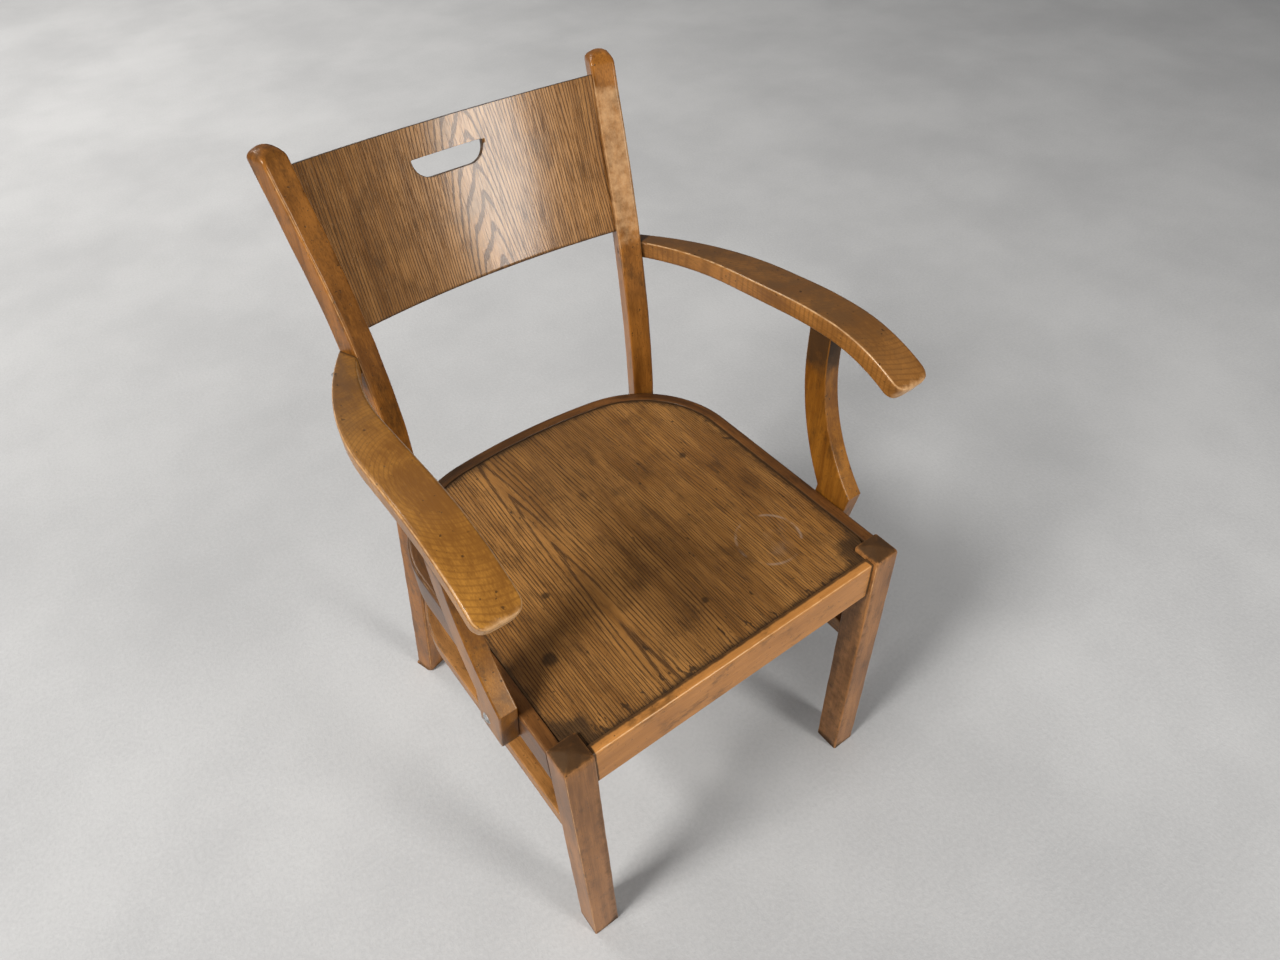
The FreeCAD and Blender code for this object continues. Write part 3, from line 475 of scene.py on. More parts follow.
def hoop_path(half, corner_radius, rear_radius, corner_back, toe_in=0.0):
    """Plan of a bent hoop from the +X front end round to the -X one: straight side, corner
    arc, flatter rear arc, and the same mirrored. Returns places, inward directions, both
    (n, 2), and the length run so far."""
    corner_x = half - corner_radius
    rear_back = corner_back - math.sqrt((rear_radius - corner_radius) ** 2 - corner_x ** 2)
    toe = math.atan2(toe_in, corner_back - LEG_SIZE)
    meet = math.atan2(corner_back - rear_back, corner_x)
    side, bend, rear = 24, 40, 30
    turn = np.concatenate([np.full(side, -toe), np.linspace(-toe, meet, bend),
                           np.linspace(meet, math.pi / 2, rear)])
    centre = np.repeat([(corner_x, corner_back), (0.0, rear_back)], [side + bend, rear], axis=0)
    radius = np.repeat([corner_radius, rear_radius], [side + bend, rear])[:, None]
    inward = -np.stack([np.cos(turn), np.sin(turn)], -1)
    places = centre - inward * radius
    length = (places[side, 1] - LEG_SIZE) / math.cos(toe)
    run = length * np.linspace(1, 0, side, endpoint=False)[:, None]
    places[:side] -= run * np.array([math.sin(toe), math.cos(toe)])
    flip = np.array([-1, 1])
    places = np.concatenate([places, places[-2::-1] * flip])
    inward = np.concatenate([inward, inward[-2::-1] * flip])
    steps = np.linalg.norm(np.diff(places, axis=0), axis=1)
    return places, inward, np.concatenate([[0], np.cumsum(steps)])


def bent_bar(name, path, outline, edge):
    """Bar of constant outline, (m, 2) as inset and height, carried along a hoop's plan."""
    places, inward, run = path
    plan = places[:, None, :] + inward[:, None, :] * outline[None, :, :1]
    up = np.broadcast_to(outline[:, 1], plan.shape[:2])
    rings = in_seat_frame(plan[..., 0], plan[..., 1], up)
    grain = np.stack(np.broadcast_arrays(run[:, None], outline[:, 0], up), -1)
    return skin(name, rings, grain, np.broadcast_to(edge, up.shape).copy())


hoop_corner_x = HALF_FRAME - HOOP_CORNER
hoop_corner_back = (SEAT_DEPTH - HOOP_REAR
                    + math.sqrt((HOOP_REAR - HOOP_CORNER) ** 2 - hoop_corner_x ** 2))
seat_path = hoop_path(HALF_FRAME, HOOP_CORNER, HOOP_REAR, hoop_corner_back)
hoop_outline, hoop_edge = rounded_profile([
    (0.0, RAIL_TOP - RAIL_HEIGHT, 0.002),
    (0.0, RAIL_TOP, RIM_ROUND),
    (RIM_WIDTH, RAIL_TOP, 0.0012),
    (RIM_WIDTH, PANEL_SEAT, 0.0),
    (HOOP_THICK, PANEL_SEAT, 0.0),
    (HOOP_THICK, RAIL_TOP - RAIL_HEIGHT, 0.002),
])
rubbed_shoulder = hoop_edge * (hoop_outline[:, 0] < 0.006)
# Painted shade and dirt on the rim's inner wall, in the angle beside the panel.
beside_panel = hoop_outline[:, 0] > RIM_WIDTH - 0.0006
hoop_wear_and_shade = rubbed_shoulder * 0.85 - beside_panel * 0.8
hoop = bent_bar("seat_hoop_wood", seat_path, hoop_outline, hoop_wear_and_shade)
fitted(hoop, "seat_hoop",
       beech("beech_seat_hoop", HOOP_ORANGE, HOOP_BROWN, 6.2, 0.6, 0.30))

# Seat panel: oak-faced plywood lying in the rebates and notched round the front legs.
# Open pores run from front to back, and every edge and notch corner is darkened with dirt
# and painted shade.
PANEL_TOP = -0.006
PANEL_THICK = 0.007
PANEL_GAP = 0.0005
PANEL_EDGE_DROP = 0.0004
OAK_MID = (0.175, 0.074, 0.017, 1.0)
OAK_PALE = (0.310, 0.143, 0.037, 1.0)
OAK_PORE = (0.040, 0.016, 0.005, 1.0)
GLASS_RING_GREY = (0.42, 0.34, 0.27, 1.0)
GLASS_RING_PLACE = (0.138, -0.172)
GLASS_RING_RADIUS = 0.042
STAINS = {(-0.182, -0.155): 0.010, (-0.137, -0.073): 0.006, (0.012, -0.198): 0.005,
          (0.150, 0.020): 0.006}
NOTCH_SHADE_AND_DIRT = 0.75
NOTCH_SHADE_AND_DIRT_REACH = 0.020


def oak(name, tones, middle, arch, gloss, coat, marks=None):
    """Oak veneer, sliced nearly flat. The figure is sines of the distance from a slim
    parabola down the middle of the tree; where they peak lies early wood, whose pores are
    thin dark dashes along the grain. Along is the grain's first number, across its second."""
    finish = Finish(name)
    pale, mid, pore = tones
    grain = finish.carried("grain")
    drift = finish.fibres(grain, 0.22, 9.0, 2.0, 0.5)
    along = finish.part(grain, "X")
    across = finish.part(grain, "Y") + drift * 0.035 - (middle + 0.0175)
    opening = along * along * arch + along * arch * 0.4 + 0.0009
    distance = (across * across + opening).root()
    seasons = finish.fibres(grain, 0.03, 32.0, 2.0, 0.5) * 16.0
    early = (distance * 1900.0 + drift * 7.0 + seasons).sine().ramp(0.25, 0.95)
    dashes = finish.fibres(grain, 0.022, 1300.0, 2.0, 0.5)
    coarse = finish.fibres(grain, 0.035, 480.0, 3.0, 0.6)
    streak = finish.fibres(grain, 0.07, 75.0, 4.0, 0.6)
    cloud = finish.fibres(grain, 0.5, 9.0, 4.0, 0.6)
    pores = (dashes * 0.66 + coarse * 0.40 + early * 0.16).ramp(0.565, 0.690)
    colour = finish.blend((cloud * 0.6 + streak * 0.7).ramp(0.50, 0.80), mid, pale)
    colour = finish.blend(early * 0.25, colour, mid)
    colour = finish.blend(pores * 0.82, colour, pore)
    handled = finish.noise(grain, 17.0, 5.0, 0.65)
    colour = finish.blend(handled.ramp(0.50, 0.72) * 0.50, colour, pore)
    wear_and_shade = finish.carried("wear_and_shade")
    # Dirt, and painted shade where the wear value is below zero.
    grime_and_shade = (finish.noise(grain, 55.0, 4.0, 0.7) * 0.9 - wear_and_shade * 0.9 - 0.25).ramp(0.40, 0.88)
    colour = finish.blend(grime_and_shade * 0.85, colour, DIRT_AND_SHADE_DARK)
    if marks:
        colour = marks(finish, colour)
    roughness = gloss + cloud * 0.16 + pores * 0.18 + grime_and_shade * 0.2
    height = (1.0 - pores) * 0.8 + coarse * 0.2
    return finish.surface(colour, roughness, height, 0.0006, specular_ior_level=0.36,
                          specular_tint=WARM_SHEEN, coat_weight=coat, coat_roughness=0.16)


def seat_marks(finish, colour):
    """Marks of use on the seat: a glass ring, dark stains, and nicks along the front edge."""
    place = finish.place()
    x, y = finish.part(place, "X"), finish.part(place, "Y")

    def away(centre):
        dx, dy = x - centre[0], y - centre[1]
        return (dx * dx + dy * dy).root()

    broken = finish.noise(place, 28.0, 3.0, 0.6)
    inside = GLASS_RING_RADIUS - away(GLASS_RING_PLACE)
    ring = (1.0 - abs(inside) * 330.0).ramp(0.0, 1.0) * broken.ramp(0.42, 0.6)
    haze = inside.ramp(0.0, 0.02) * broken.ramp(0.45, 0.7)
    colour = finish.blend(ring * 0.34 + haze * 0.10, colour, GLASS_RING_GREY)
    frayed = finish.noise(place, 120.0, 3.0, 0.6) * 0.006 - 0.003
    for centre, radius in STAINS.items():
        stain = (away(centre) + frayed - radius).ramp(radius * 0.3, -radius * 0.5)
        colour = finish.blend(stain * 0.8, colour, DIRT_AND_SHADE_DARK)
    near_front = (y + 0.240).ramp(0.0, -0.022)
    nicks = finish.noise(finish.moved(place, stretch=(1, 0.40, 1)), 150.0, 2.0, 0.5)
    colour = finish.blend((nicks + near_front * 0.11).ramp(0.70, 0.76) * 0.85, colour, DIRT_AND_SHADE_DARK)
    scuffs = finish.noise(finish.moved(place, stretch=(1, 0.6, 1)), 130.0, 2.0, 0.5)
    return finish.blend(scuffs.ramp(0.73, 0.78) * 0.5, colour, DIRT_AND_SHADE_DARK)


seat_places, seat_inward, _ = seat_path
panel_side = seat_places + seat_inward * (RIM_WIDTH + PANEL_GAP)
panel_side = panel_side[panel_side[:, 1] > LEG_SIZE + PANEL_GAP]
notch_x = HALF_FRAME - LEG_SIZE - PANEL_GAP
side_x = HALF_FRAME - RIM_WIDTH - PANEL_GAP
notch_back = LEG_SIZE + PANEL_GAP
panel_front = RAIL_SETBACK + RAIL_BORDER + PANEL_GAP


def run_of_points(start, end, count):
    """Points evenly spaced on a straight line, without its last one."""
    return np.linspace(start, end, count, endpoint=False)


panel_rim = np.concatenate([
    run_of_points((-notch_x, panel_front), (notch_x, panel_front), 90),
    run_of_points((notch_x, panel_front), (notch_x, notch_back), 6),
    run_of_points((notch_x, notch_back), (side_x, notch_back), 6),
    panel_side,
    run_of_points((-side_x, notch_back), (-notch_x, notch_back), 6),
    run_of_points((-notch_x, notch_back), (-notch_x, panel_front), 6),
])
panel_middle = np.array([0.0, 0.25])
inwards = np.array([0.0, 0.003, 0.008, 0.016, 0.03, 0.06, 0.12, 0.25, 0.5, 0.8])[:, None, None]
layers = len(inwards)
panel_plan = panel_rim + (panel_middle - panel_rim) * inwards
panel_edge_shade_and_dirt = np.array([1.0, 0.78, 0.62, 0.50, 0.38, 0.20, 0.05, 0.0, 0.0, 0.0])[:, None]
plan = np.concatenate([panel_plan[::-1], panel_plan])
up = np.repeat([PANEL_TOP, PANEL_TOP - PANEL_THICK], layers)[:, None]
up = np.broadcast_to(up, plan.shape[:2]).copy()
up[layers - 1] -= PANEL_EDGE_DROP
rings = in_seat_frame(plan[..., 0], plan[..., 1], up)
grain = np.stack([plan[..., 1], plan[..., 0], up], -1)
# Dirt and painted shade: the panel goes dark along its edges and round the notches at the legs.
wear_and_shade = -np.concatenate([panel_edge_shade_and_dirt[::-1], panel_edge_shade_and_dirt * 0.3]) * np.ones(len(panel_rim))
from_notch = np.hypot(np.abs(plan[..., 0]) - notch_x, plan[..., 1] - notch_back)
wear_and_shade = wear_and_shade - NOTCH_SHADE_AND_DIRT * np.exp(-(from_notch / NOTCH_SHADE_AND_DIRT_REACH) ** 2)
seat = skin("seat_panel_oak", rings, grain, wear_and_shade)
fitted(seat, "seat_panel",
       oak("oak_seat", (OAK_PALE, OAK_MID, OAK_PORE), -0.085, 0.002, 0.36, 0.12, seat_marks))

# Rear posts: leg and back stile sawn from one beech board, splayed below the seat and raked
# above it, turned to face the sitter and leaning in. The top is rounded over, and the upper
# front of the sitter's left post is paler: partly rubbed by hands, partly a painted sheen.
POST_WIDTH = 0.031
POST_DEPTH = 0.038
POST_TURN = math.radians(17.9)
POST_LEAN = math.radians(1.8)
POST_INNER_X = 0.179
POST_FRONT_SLOPES = (math.radians(-8.3), math.radians(20.5))
POST_REAR_SLOPES = (math.radians(-7.7), math.radians(19.3))
POST_BEND_RADIUS = 0.900
POST_BEND = 0.575
POST_TOP = 0.8975
POST_ROUND = 0.0112
POST_ARRIS = 0.0034
POST_HOUSING = 0.004
POST_FOOT = -0.03                      # runs past the floor, where the foot is cut level
POST_ORANGE = (0.33, 0.125, 0.020, 1.0)
POST_BROWN = (0.110, 0.037, 0.005, 1.0)


def sawn_edge(height, depth, slopes):
    """How far back a long edge of the post lies: two straight runs that an arc joins."""
    below, above = slopes
    tangent = POST_BEND_RADIUS * math.tan((above - below) / 2)
    low = POST_BEND - tangent * math.cos(below)
    high = POST_BEND + tangent * math.cos(above)
    centre_back = depth - tangent * math.sin(below) + POST_BEND_RADIUS * math.cos(below)
    centre_up = low - POST_BEND_RADIUS * math.sin(below)
    above_centre = np.clip(height, low, high) - centre_up
    bent = centre_back - np.sqrt(POST_BEND_RADIUS ** 2 - above_centre ** 2)
    rise = height - POST_BEND
    straight = depth + rise * math.tan(below) * (rise < 0) + rise * math.tan(above) * (rise >= 0)
    return np.where((height < low) | (height > high), straight, bent)


arris_turn = math.acos((POST_INNER_X - hoop_corner_x) / HOOP_CORNER)
arris_x = hoop_corner_x + (HOOP_CORNER - POST_HOUSING) * math.cos(arris_turn)
arris_y = LEG_FRONT + hoop_corner_back + (HOOP_CORNER - POST_HOUSING) * math.sin(arris_turn)
arris_z = SHOULDER + RAIL_TOP - (arris_y - LEG_FRONT) * math.tan(SEAT_TILT)


def on_post(across, back, height, hand):
    """Chair coordinates of a place on a post: leaned, turned, and set at the seat's rim."""
    lean_cos, lean_sin = math.cos(POST_LEAN), math.sin(POST_LEAN)
    turn_cos, turn_sin = math.cos(POST_TURN), math.sin(POST_TURN)
    x, y, z = np.broadcast_arrays(across, back, height)
    y = y - sawn_edge(arris_z, 0.0, POST_FRONT_SLOPES)
    z = z - arris_z
    x, z = x * lean_cos - z * lean_sin, x * lean_sin + z * lean_cos
    x, y = x * turn_cos + y * turn_sin, y * turn_cos - x * turn_sin
    return np.stack([hand * (x + arris_x), y + arris_y + FRONT_TO_MIDDLE, z + arris_z], -1)


post_u, post_v, post_c, post_s, post_edge = section_loop()
dome = POST_ROUND * np.sin(np.linspace(0, math.pi / 2, 9))
post_up = np.concatenate([[POST_FOOT],
                          np.linspace(0.002, POST_TOP - POST_ROUND, 110, endpoint=False),
                          POST_TOP - POST_ROUND + dome])[:, None]
into_dome = np.maximum(post_up - POST_TOP + POST_ROUND, 0)
post_cut = POST_ROUND - np.sqrt(POST_ROUND ** 2 - into_dome ** 2)
for side, hand in (("left", 1), ("right", -1)):
    front = sawn_edge(post_up, 0.0, POST_FRONT_SLOPES)
    rear = sawn_edge(post_up, POST_DEPTH, POST_REAR_SLOPES)
    arris = POST_ARRIS * (1 + 0.25 * waver(post_up, 0.04, 3.0 * hand)) + post_cut * 1.5
    half_x, half_y = POST_WIDTH / 2 - post_cut, (rear - front) / 2 - post_cut
    arris = np.minimum(arris, np.minimum(half_x, half_y))
    across = POST_WIDTH / 2 + post_u * (half_x - arris) + post_c * arris
    back = (front + rear) / 2 + post_v * (half_y - arris) + post_s * arris
    rings = on_post(across, back, post_up, hand)
    rings[..., 2] = np.maximum(rings[..., 2], 0.0)
    grain = np.stack(np.broadcast_arrays(post_up, across, back), -1)
    # Darker at the foot, darkest in the joint at the seat rim with dirt and painted shade, fading
    # away from the rim above and below, and dark on the end grain of the top.
    ends = np.interp(post_up, [0.0, 0.02, 0.43, 0.437, 0.45, 0.72, POST_TOP - 0.016,
                               POST_TOP - 0.006], [-0.7, 0.0, -0.3, -0.7, -0.35, 0.0, 0.0, -0.5])
    rubbed = np.interp(post_up, [POST_TOP - 0.012, POST_TOP - 0.004], [1.0, 0.2])
    wear_and_shade = post_edge * rubbed + ends
    # Painted sheen and hand wear: the upper front face of this post is made paler.
    if side == "left":
        rubbed_and_sheen_height = np.interp(post_up, [0.60, 0.70, 0.86, 0.88], [0.0, 0.9, 0.9, 0.0])
        wear_and_shade = np.maximum(wear_and_shade, (post_v < -0.8) * rubbed_and_sheen_height)
    post = skin("rear_post_" + side + "_wood", rings, grain, wear_and_shade)
    fitted(post, "rear_post_" + side,
           beech("beech_rear_post_" + side, POST_ORANGE, POST_BROWN, 9.0 + hand, 0.75, 0.26))

# Back panel: thin oak-faced plywood, bent hollow to the sitter and let into grooves in the
# posts, with a half-round hand hole sawn a little to one side of the middle.
BACK_RADIUS = 0.600
BACK_THICK = 0.008
BACK_TOP = 0.8768
BACK_BOTTOM = 0.694
BACK_SETBACK = 0.005
BACK_TONGUE = 0.008
BACK_SOFT_EDGE = 0.0006
HOLE_WIDTH = 0.094
HOLE_HEIGHT = 0.024
HOLE_DROP = 0.0355
HOLE_OFFSET = -0.008
BACK_PALE = (0.30, 0.140, 0.040, 1.0)
BACK_MID = (0.170, 0.070, 0.016, 1.0)
BACK_PORE = (0.055, 0.022, 0.006, 1.0)


def reach_of(outline, centre, rays):
    """Distance from a centre to a closed outline along each ray, (n, 2): the ray meets each
    straight piece where its cross products with the two ends change sign."""
    start = outline - centre
    side = np.roll(start, -1, axis=0) - start
    ray = rays[:, None, :]
    cross = ray[..., 0] * side[:, 1] - ray[..., 1] * side[:, 0]
    cross = np.where(np.abs(cross) < 1e-12, 1e-12, cross)
    along_ray = (start[:, 0] * side[:, 1] - start[:, 1] * side[:, 0]) / cross
    along_side = (start[:, 0] * ray[..., 1] - start[:, 1] * ray[..., 0]) / cross
    hit = (along_ray > 0) & (along_side >= -1e-6) & (along_side <= 1 + 1e-6)
    return np.where(hit, along_ray, np.inf).min(1)


back_low, back_high = (
    on_post(0.0, sawn_edge(height, 0.0, POST_FRONT_SLOPES) + BACK_SETBACK, height, 1)
    for height in (BACK_BOTTOM, BACK_TOP))
back_length = math.hypot(back_high[1] - back_low[1], back_high[2] - back_low[2])
back_rake = math.atan2(back_high[1] - back_low[1], back_high[2] - back_low[2])
back_wide, back_narrow = back_high[0] + BACK_TONGUE, back_low[0] + BACK_TONGUE
back_outline = np.array([(back_wide, back_length), (-back_wide, back_length),
                         (-back_narrow, 0), (back_narrow, 0)])
hole_top = back_length - HOLE_DROP
hole_outline, _ = rounded_profile([
    (HOLE_OFFSET + HOLE_WIDTH / 2, hole_top, 0.0015),
    (HOLE_OFFSET - HOLE_WIDTH / 2, hole_top, 0.0015),
    (HOLE_OFFSET - HOLE_WIDTH / 2, hole_top - HOLE_HEIGHT, 0.0215),
    (HOLE_OFFSET + HOLE_WIDTH / 2, hole_top - HOLE_HEIGHT, 0.0215),
], steps=14)
hole_centre = np.array([HOLE_OFFSET, hole_top - HOLE_HEIGHT / 2])
to_corners = np.arctan2(*(back_outline - hole_centre).T[::-1])
to_hole = np.arctan2(*(hole_outline - hole_centre).T[::-1])
angles = np.unique(np.round(np.concatenate([np.linspace(-math.pi, math.pi, 240, endpoint=False),
                                            to_corners, to_hole]), 5))
rays = np.stack([np.cos(angles), np.sin(angles)], -1)
inner = hole_centre + rays * reach_of(hole_outline, hole_centre, rays)[:, None]
outer = hole_centre + rays * reach_of(back_outline, hole_centre, rays)[:, None]
share = np.concatenate([[0.0, 0.004, 0.03], np.linspace(0.1, 0.9, 9), [0.97, 0.992, 1.0]])
sheet = inner + (outer - inner) * share[:, None, None]
sheet = np.concatenate([sheet, sheet[::-1]])
count = len(share)
shell = np.repeat([BACK_RADIUS, BACK_RADIUS + BACK_THICK], count)[:, None]
shell = np.broadcast_to(shell, sheet.shape[:2]).copy()
shell[[0, count - 1]] += BACK_SOFT_EDGE
shell[[count, -1]] -= BACK_SOFT_EDGE
chord = (back_low[0] + back_high[0]) / 2
bowed = np.sqrt(shell ** 2 - sheet[..., 0] ** 2) - math.sqrt(BACK_RADIUS ** 2 - chord ** 2)
x, climb = sheet[..., 0], sheet[..., 1]
rake_cos, rake_sin = math.cos(back_rake), math.sin(back_rake)
rings = np.stack([x, back_low[1] + bowed * rake_cos + climb * rake_sin,
                  back_low[2] - bowed * rake_sin + climb * rake_cos], -1)
grain = np.stack([climb, x - 0.02, shell - BACK_RADIUS], -1)
# Dirt and painted shade darken the ply's edges, round the outside and the hand hole.
edge_shade_and_dirt = np.interp(share, [0.0, 0.003, 0.02, 0.05, 0.9, 0.991, 0.993, 1.0],
                 [1.0, 0.5, 0.2, 0, 0, 0.25, 0.9, 1.0])
wear_and_shade = -np.concatenate([edge_shade_and_dirt, edge_shade_and_dirt[::-1]])[:, None] * np.ones(len(angles))
back = skin("back_panel_oak", rings, grain, wear_and_shade, closed=True)
fitted(back, "back_panel",
       oak("oak_back", (BACK_PALE, BACK_MID, BACK_PORE), -0.005, 0.012, 0.24, 0.35))

# Stretcher hoop: a second steam-bent beech bar, tenoned to the front legs and let into the
# rear posts, with the same round corners and a flatter back.
STRETCHER_TOP = -0.167
STRETCHER_SIZE = 0.027
STRETCHER_HALF = 0.249
STRETCHER_CORNER = 0.185
STRETCHER_REAR = 0.800
STRETCHER_TOE = 0.005
STRETCHER_ARRIS = 0.0024
STRETCHER_LIGHT = (0.32, 0.140, 0.036, 1.0)
STRETCHER_DEEP = (0.12, 0.045, 0.010, 1.0)

stretcher_level = SHOULDER + STRETCHER_TOP - STRETCHER_SIZE / 2
stretcher_level -= (SEAT_DEPTH - LEG_SIZE) * math.tan(SEAT_TILT)
post_arris = on_post(0.0, sawn_edge(stretcher_level, 0.0, POST_FRONT_SLOPES), stretcher_level, 1)
arris_across = post_arris[0] - (STRETCHER_HALF - STRETCHER_CORNER)
arris_back = post_arris[1] - FRONT_TO_MIDDLE - LEG_FRONT
stretcher_corner_back = arris_back - math.sqrt((STRETCHER_CORNER - POST_HOUSING) ** 2
                                               - arris_across ** 2)
stretcher_outline, stretcher_edge = rounded_profile([
    (0.0, STRETCHER_TOP - STRETCHER_SIZE, STRETCHER_ARRIS),
    (0.0, STRETCHER_TOP, STRETCHER_ARRIS),
    (STRETCHER_SIZE, STRETCHER_TOP, STRETCHER_ARRIS),
    (STRETCHER_SIZE, STRETCHER_TOP - STRETCHER_SIZE, STRETCHER_ARRIS),
])
stretcher_path = hoop_path(STRETCHER_HALF, STRETCHER_CORNER, STRETCHER_REAR,
                           stretcher_corner_back, STRETCHER_TOE)
stretcher = bent_bar("stretcher_hoop_wood", stretcher_path, stretcher_outline, stretcher_edge)
fitted(stretcher, "stretcher_hoop",
       beech("beech_stretcher", STRETCHER_LIGHT, STRETCHER_DEEP, 12.4, 0.5, 0.32))

# Arms: sawn from thick beech, arched in side view and bowed in plan, butted on the rear
# posts and dowelled on the supports. Growth rings cross the top in arcs.
ARM_OUTER = 0.2835
ARM_WIDTH = 0.050
ARM_THICK = 0.024
ARM_FRONT = -0.240
ARM_OUTER_BEND = (-0.010, 0.440)       # where the bow starts, and its radius
ARM_INNER_BEND = (0.048, 0.390)
ARM_CREST = -0.125
ARM_CREST_UP = 0.713
ARM_REAR_RADIUS = 0.570
ARM_FRONT_RADIUS = 0.225
ARM_REAR_SLOPE = math.radians(7.3)
ARM_END_CORNER = 0.014
ARM_ROUND = 0.0036
ARM_RUN = 0.44                         # about the arm's length, for the spacing of its rings
TIP_WEAR_REACH = 0.020
POST_SHADE_AND_DIRT_REACH = 0.008
ARM_GREY = (0.100, 0.047, 0.016, 1.0)


def bowed_in(y, start, bend):
    """Plan edge at X = start that bows inwards as an arc behind the bend's place."""
    place, radius = bend
    return start - radius + np.sqrt(radius ** 2 - np.maximum(y - place, 0) ** 2)


def on_arm(top_y, u, v, c, s, narrow, thin):
    """Place on an arm's skin: a rounded section hung below the top line at top_y, between
    the two plan edges; narrow and thin pull its sides and its faces in."""
    from_crest = top_y - ARM_CREST
    steepest = math.sin(ARM_REAR_SLOPE)
    forward = np.arcsin(np.minimum(from_crest / ARM_FRONT_RADIUS, 0))
    rearward = np.arcsin(np.clip(from_crest / ARM_REAR_RADIUS, 0, steepest))
    lean = np.where(from_crest < 0, forward, rearward)
    radius = np.where(from_crest < 0, ARM_FRONT_RADIUS, ARM_REAR_RADIUS)
    bend_y = ARM_CREST + ARM_REAR_RADIUS * steepest
    top_z = ARM_CREST_UP - radius * (1 - np.cos(lean))
    top_z = top_z - np.maximum(top_y - bend_y, 0) * math.tan(ARM_REAR_SLOPE)
    half = ARM_THICK / 2 - thin
    arris = np.minimum(ARM_ROUND, half)
    drop = ARM_THICK / 2 - (v * (half - arris) + s * arris)
    y = top_y - drop * np.sin(lean)
    outer = bowed_in(y, ARM_OUTER, ARM_OUTER_BEND)
    inner = bowed_in(y, ARM_OUTER - ARM_WIDTH, ARM_INNER_BEND)
    half_x = (outer - inner) / 2 - narrow - thin
    x = (outer + inner) / 2 + u * (half_x - arris) + c * arris
    return np.stack([x, y + FRONT_TO_MIDDLE, top_z - drop * np.cos(lean)], -1)


def arm_rings(u, v, c, s):
    """Rings from the tip to the post: each long line of the skin ends where it meets the
    plane of the post's outer face, found by halving the interval again and again."""
    face = on_post(POST_WIDTH, 0.0, 0.0, 1)
    normal = on_post(POST_WIDTH + 1.0, 0.0, 0.0, 1) - face
    near, far = np.full(len(u), 0.05), np.full(len(u), 0.33)
    for _ in range(30):
        middle = (near + far) / 2
        outside = (on_arm(middle, u, v, c, s, 0.0, 0.0) - face) @ normal > 0
        near, far = np.where(outside, middle, near), np.where(outside, far, middle)
    tip = np.array([0, 0.0003, 0.0009, 0.0018, 0.0028, 0.0037, 0.005, 0.007, 0.0095, 0.0125,
                    0.016, 0.02])
    share = np.concatenate([tip / ARM_RUN, np.linspace(0.055, 1.0, 90)])[:, None]
    from_tip = share * ARM_RUN
    corner, over = (radius - np.sqrt(radius ** 2 - np.maximum(radius - from_tip, 0) ** 2)
                    for radius in (ARM_END_CORNER, ARM_ROUND))
    top_y = ARM_FRONT + share * (near - ARM_FRONT)
    return on_arm(top_y, u, v, c, s, corner, over), top_y


def arm_finish(name, seed, gold, brown, ring_place, grey):
    """Beech with growth rings that cross the top in arcs about a place; the top is greyer
    behind the grey place, where the varnish is worn and dirty."""
    finish = Finish(name)
    grain = finish.moved(finish.carried("grain"), (seed, 0.3 * seed, 0.0))
    place = finish.place()
    warp = finish.noise(place, 14.0, 3.0, 0.5)
    dx = finish.part(place, "X") - ring_place[0]
    dy = finish.part(place, "Y") - ring_place[1]
    away = (dx * dx + dy * dy * 0.40).root()
    rings = (away * 1500.0 + warp * 9.0).sine().ramp(0.2, 1.0)
    fibre = finish.fibres(grain, 0.05, 520.0, 3.0, 0.6)
    blotch = finish.fibres(grain, 0.6, 16.0, 4.0, 0.65)
    fleck = finish.fibres(grain, 0.3, 1000.0, 1.0, 0.4)
    pits = finish.noise(grain, 160.0, 2.0, 0.5)
    rubbed = finish.noise(grain, 85.0, 4.0, 0.65)
    colour = finish.blend((blotch * 0.75 + fibre * 0.3).ramp(0.38, 0.70), brown, gold)
    colour = finish.blend(rings * (0.35 + warp * 0.6) * 0.75, colour, brown)
    colour = finish.blend(fleck.ramp(0.6, 0.72) * 0.4, colour, brown)
    handled = finish.noise(grain, 38.0, 5.0, 0.7).ramp(0.40, 0.60)
    rear = (finish.part(place, "Y") + blotch * 0.12).ramp(grey, grey + 0.18)
    on_top = finish.carried("upward").ramp(0.45, 0.85)
    colour = finish.blend(rear * on_top * (0.55 + handled * 0.35), colour, ARM_GREY)
    colour = finish.blend(pits.ramp(0.66, 0.74) * 0.75, colour, DIRT_AND_SHADE_DARK)
    wear_and_shade = finish.carried("wear_and_shade")
    bare = (wear_and_shade * 0.80 + rubbed * 0.62).ramp(0.80, 1.25) * 0.9
    # Dirt, and painted shade where the wear value is below zero.
    grime_and_shade = (rubbed * 0.7 - wear_and_shade * 0.9).ramp(0.55, 1.10)
    colour = finish.blend(bare, colour, BARE_WOOD)
    colour = finish.blend(grime_and_shade * 0.85, colour, DIRT_AND_SHADE_DARK)
    height = fibre * 0.35 + rings * 0.05 - pits.ramp(0.68, 0.8) * 0.6
    roughness = 0.27 + blotch * 0.18 + bare * 0.15
    return finish.surface(colour, roughness, height, 0.0003, specular_ior_level=0.34,
                          specular_tint=WARM_SHEEN, coat_weight=0.14, coat_roughness=0.15)


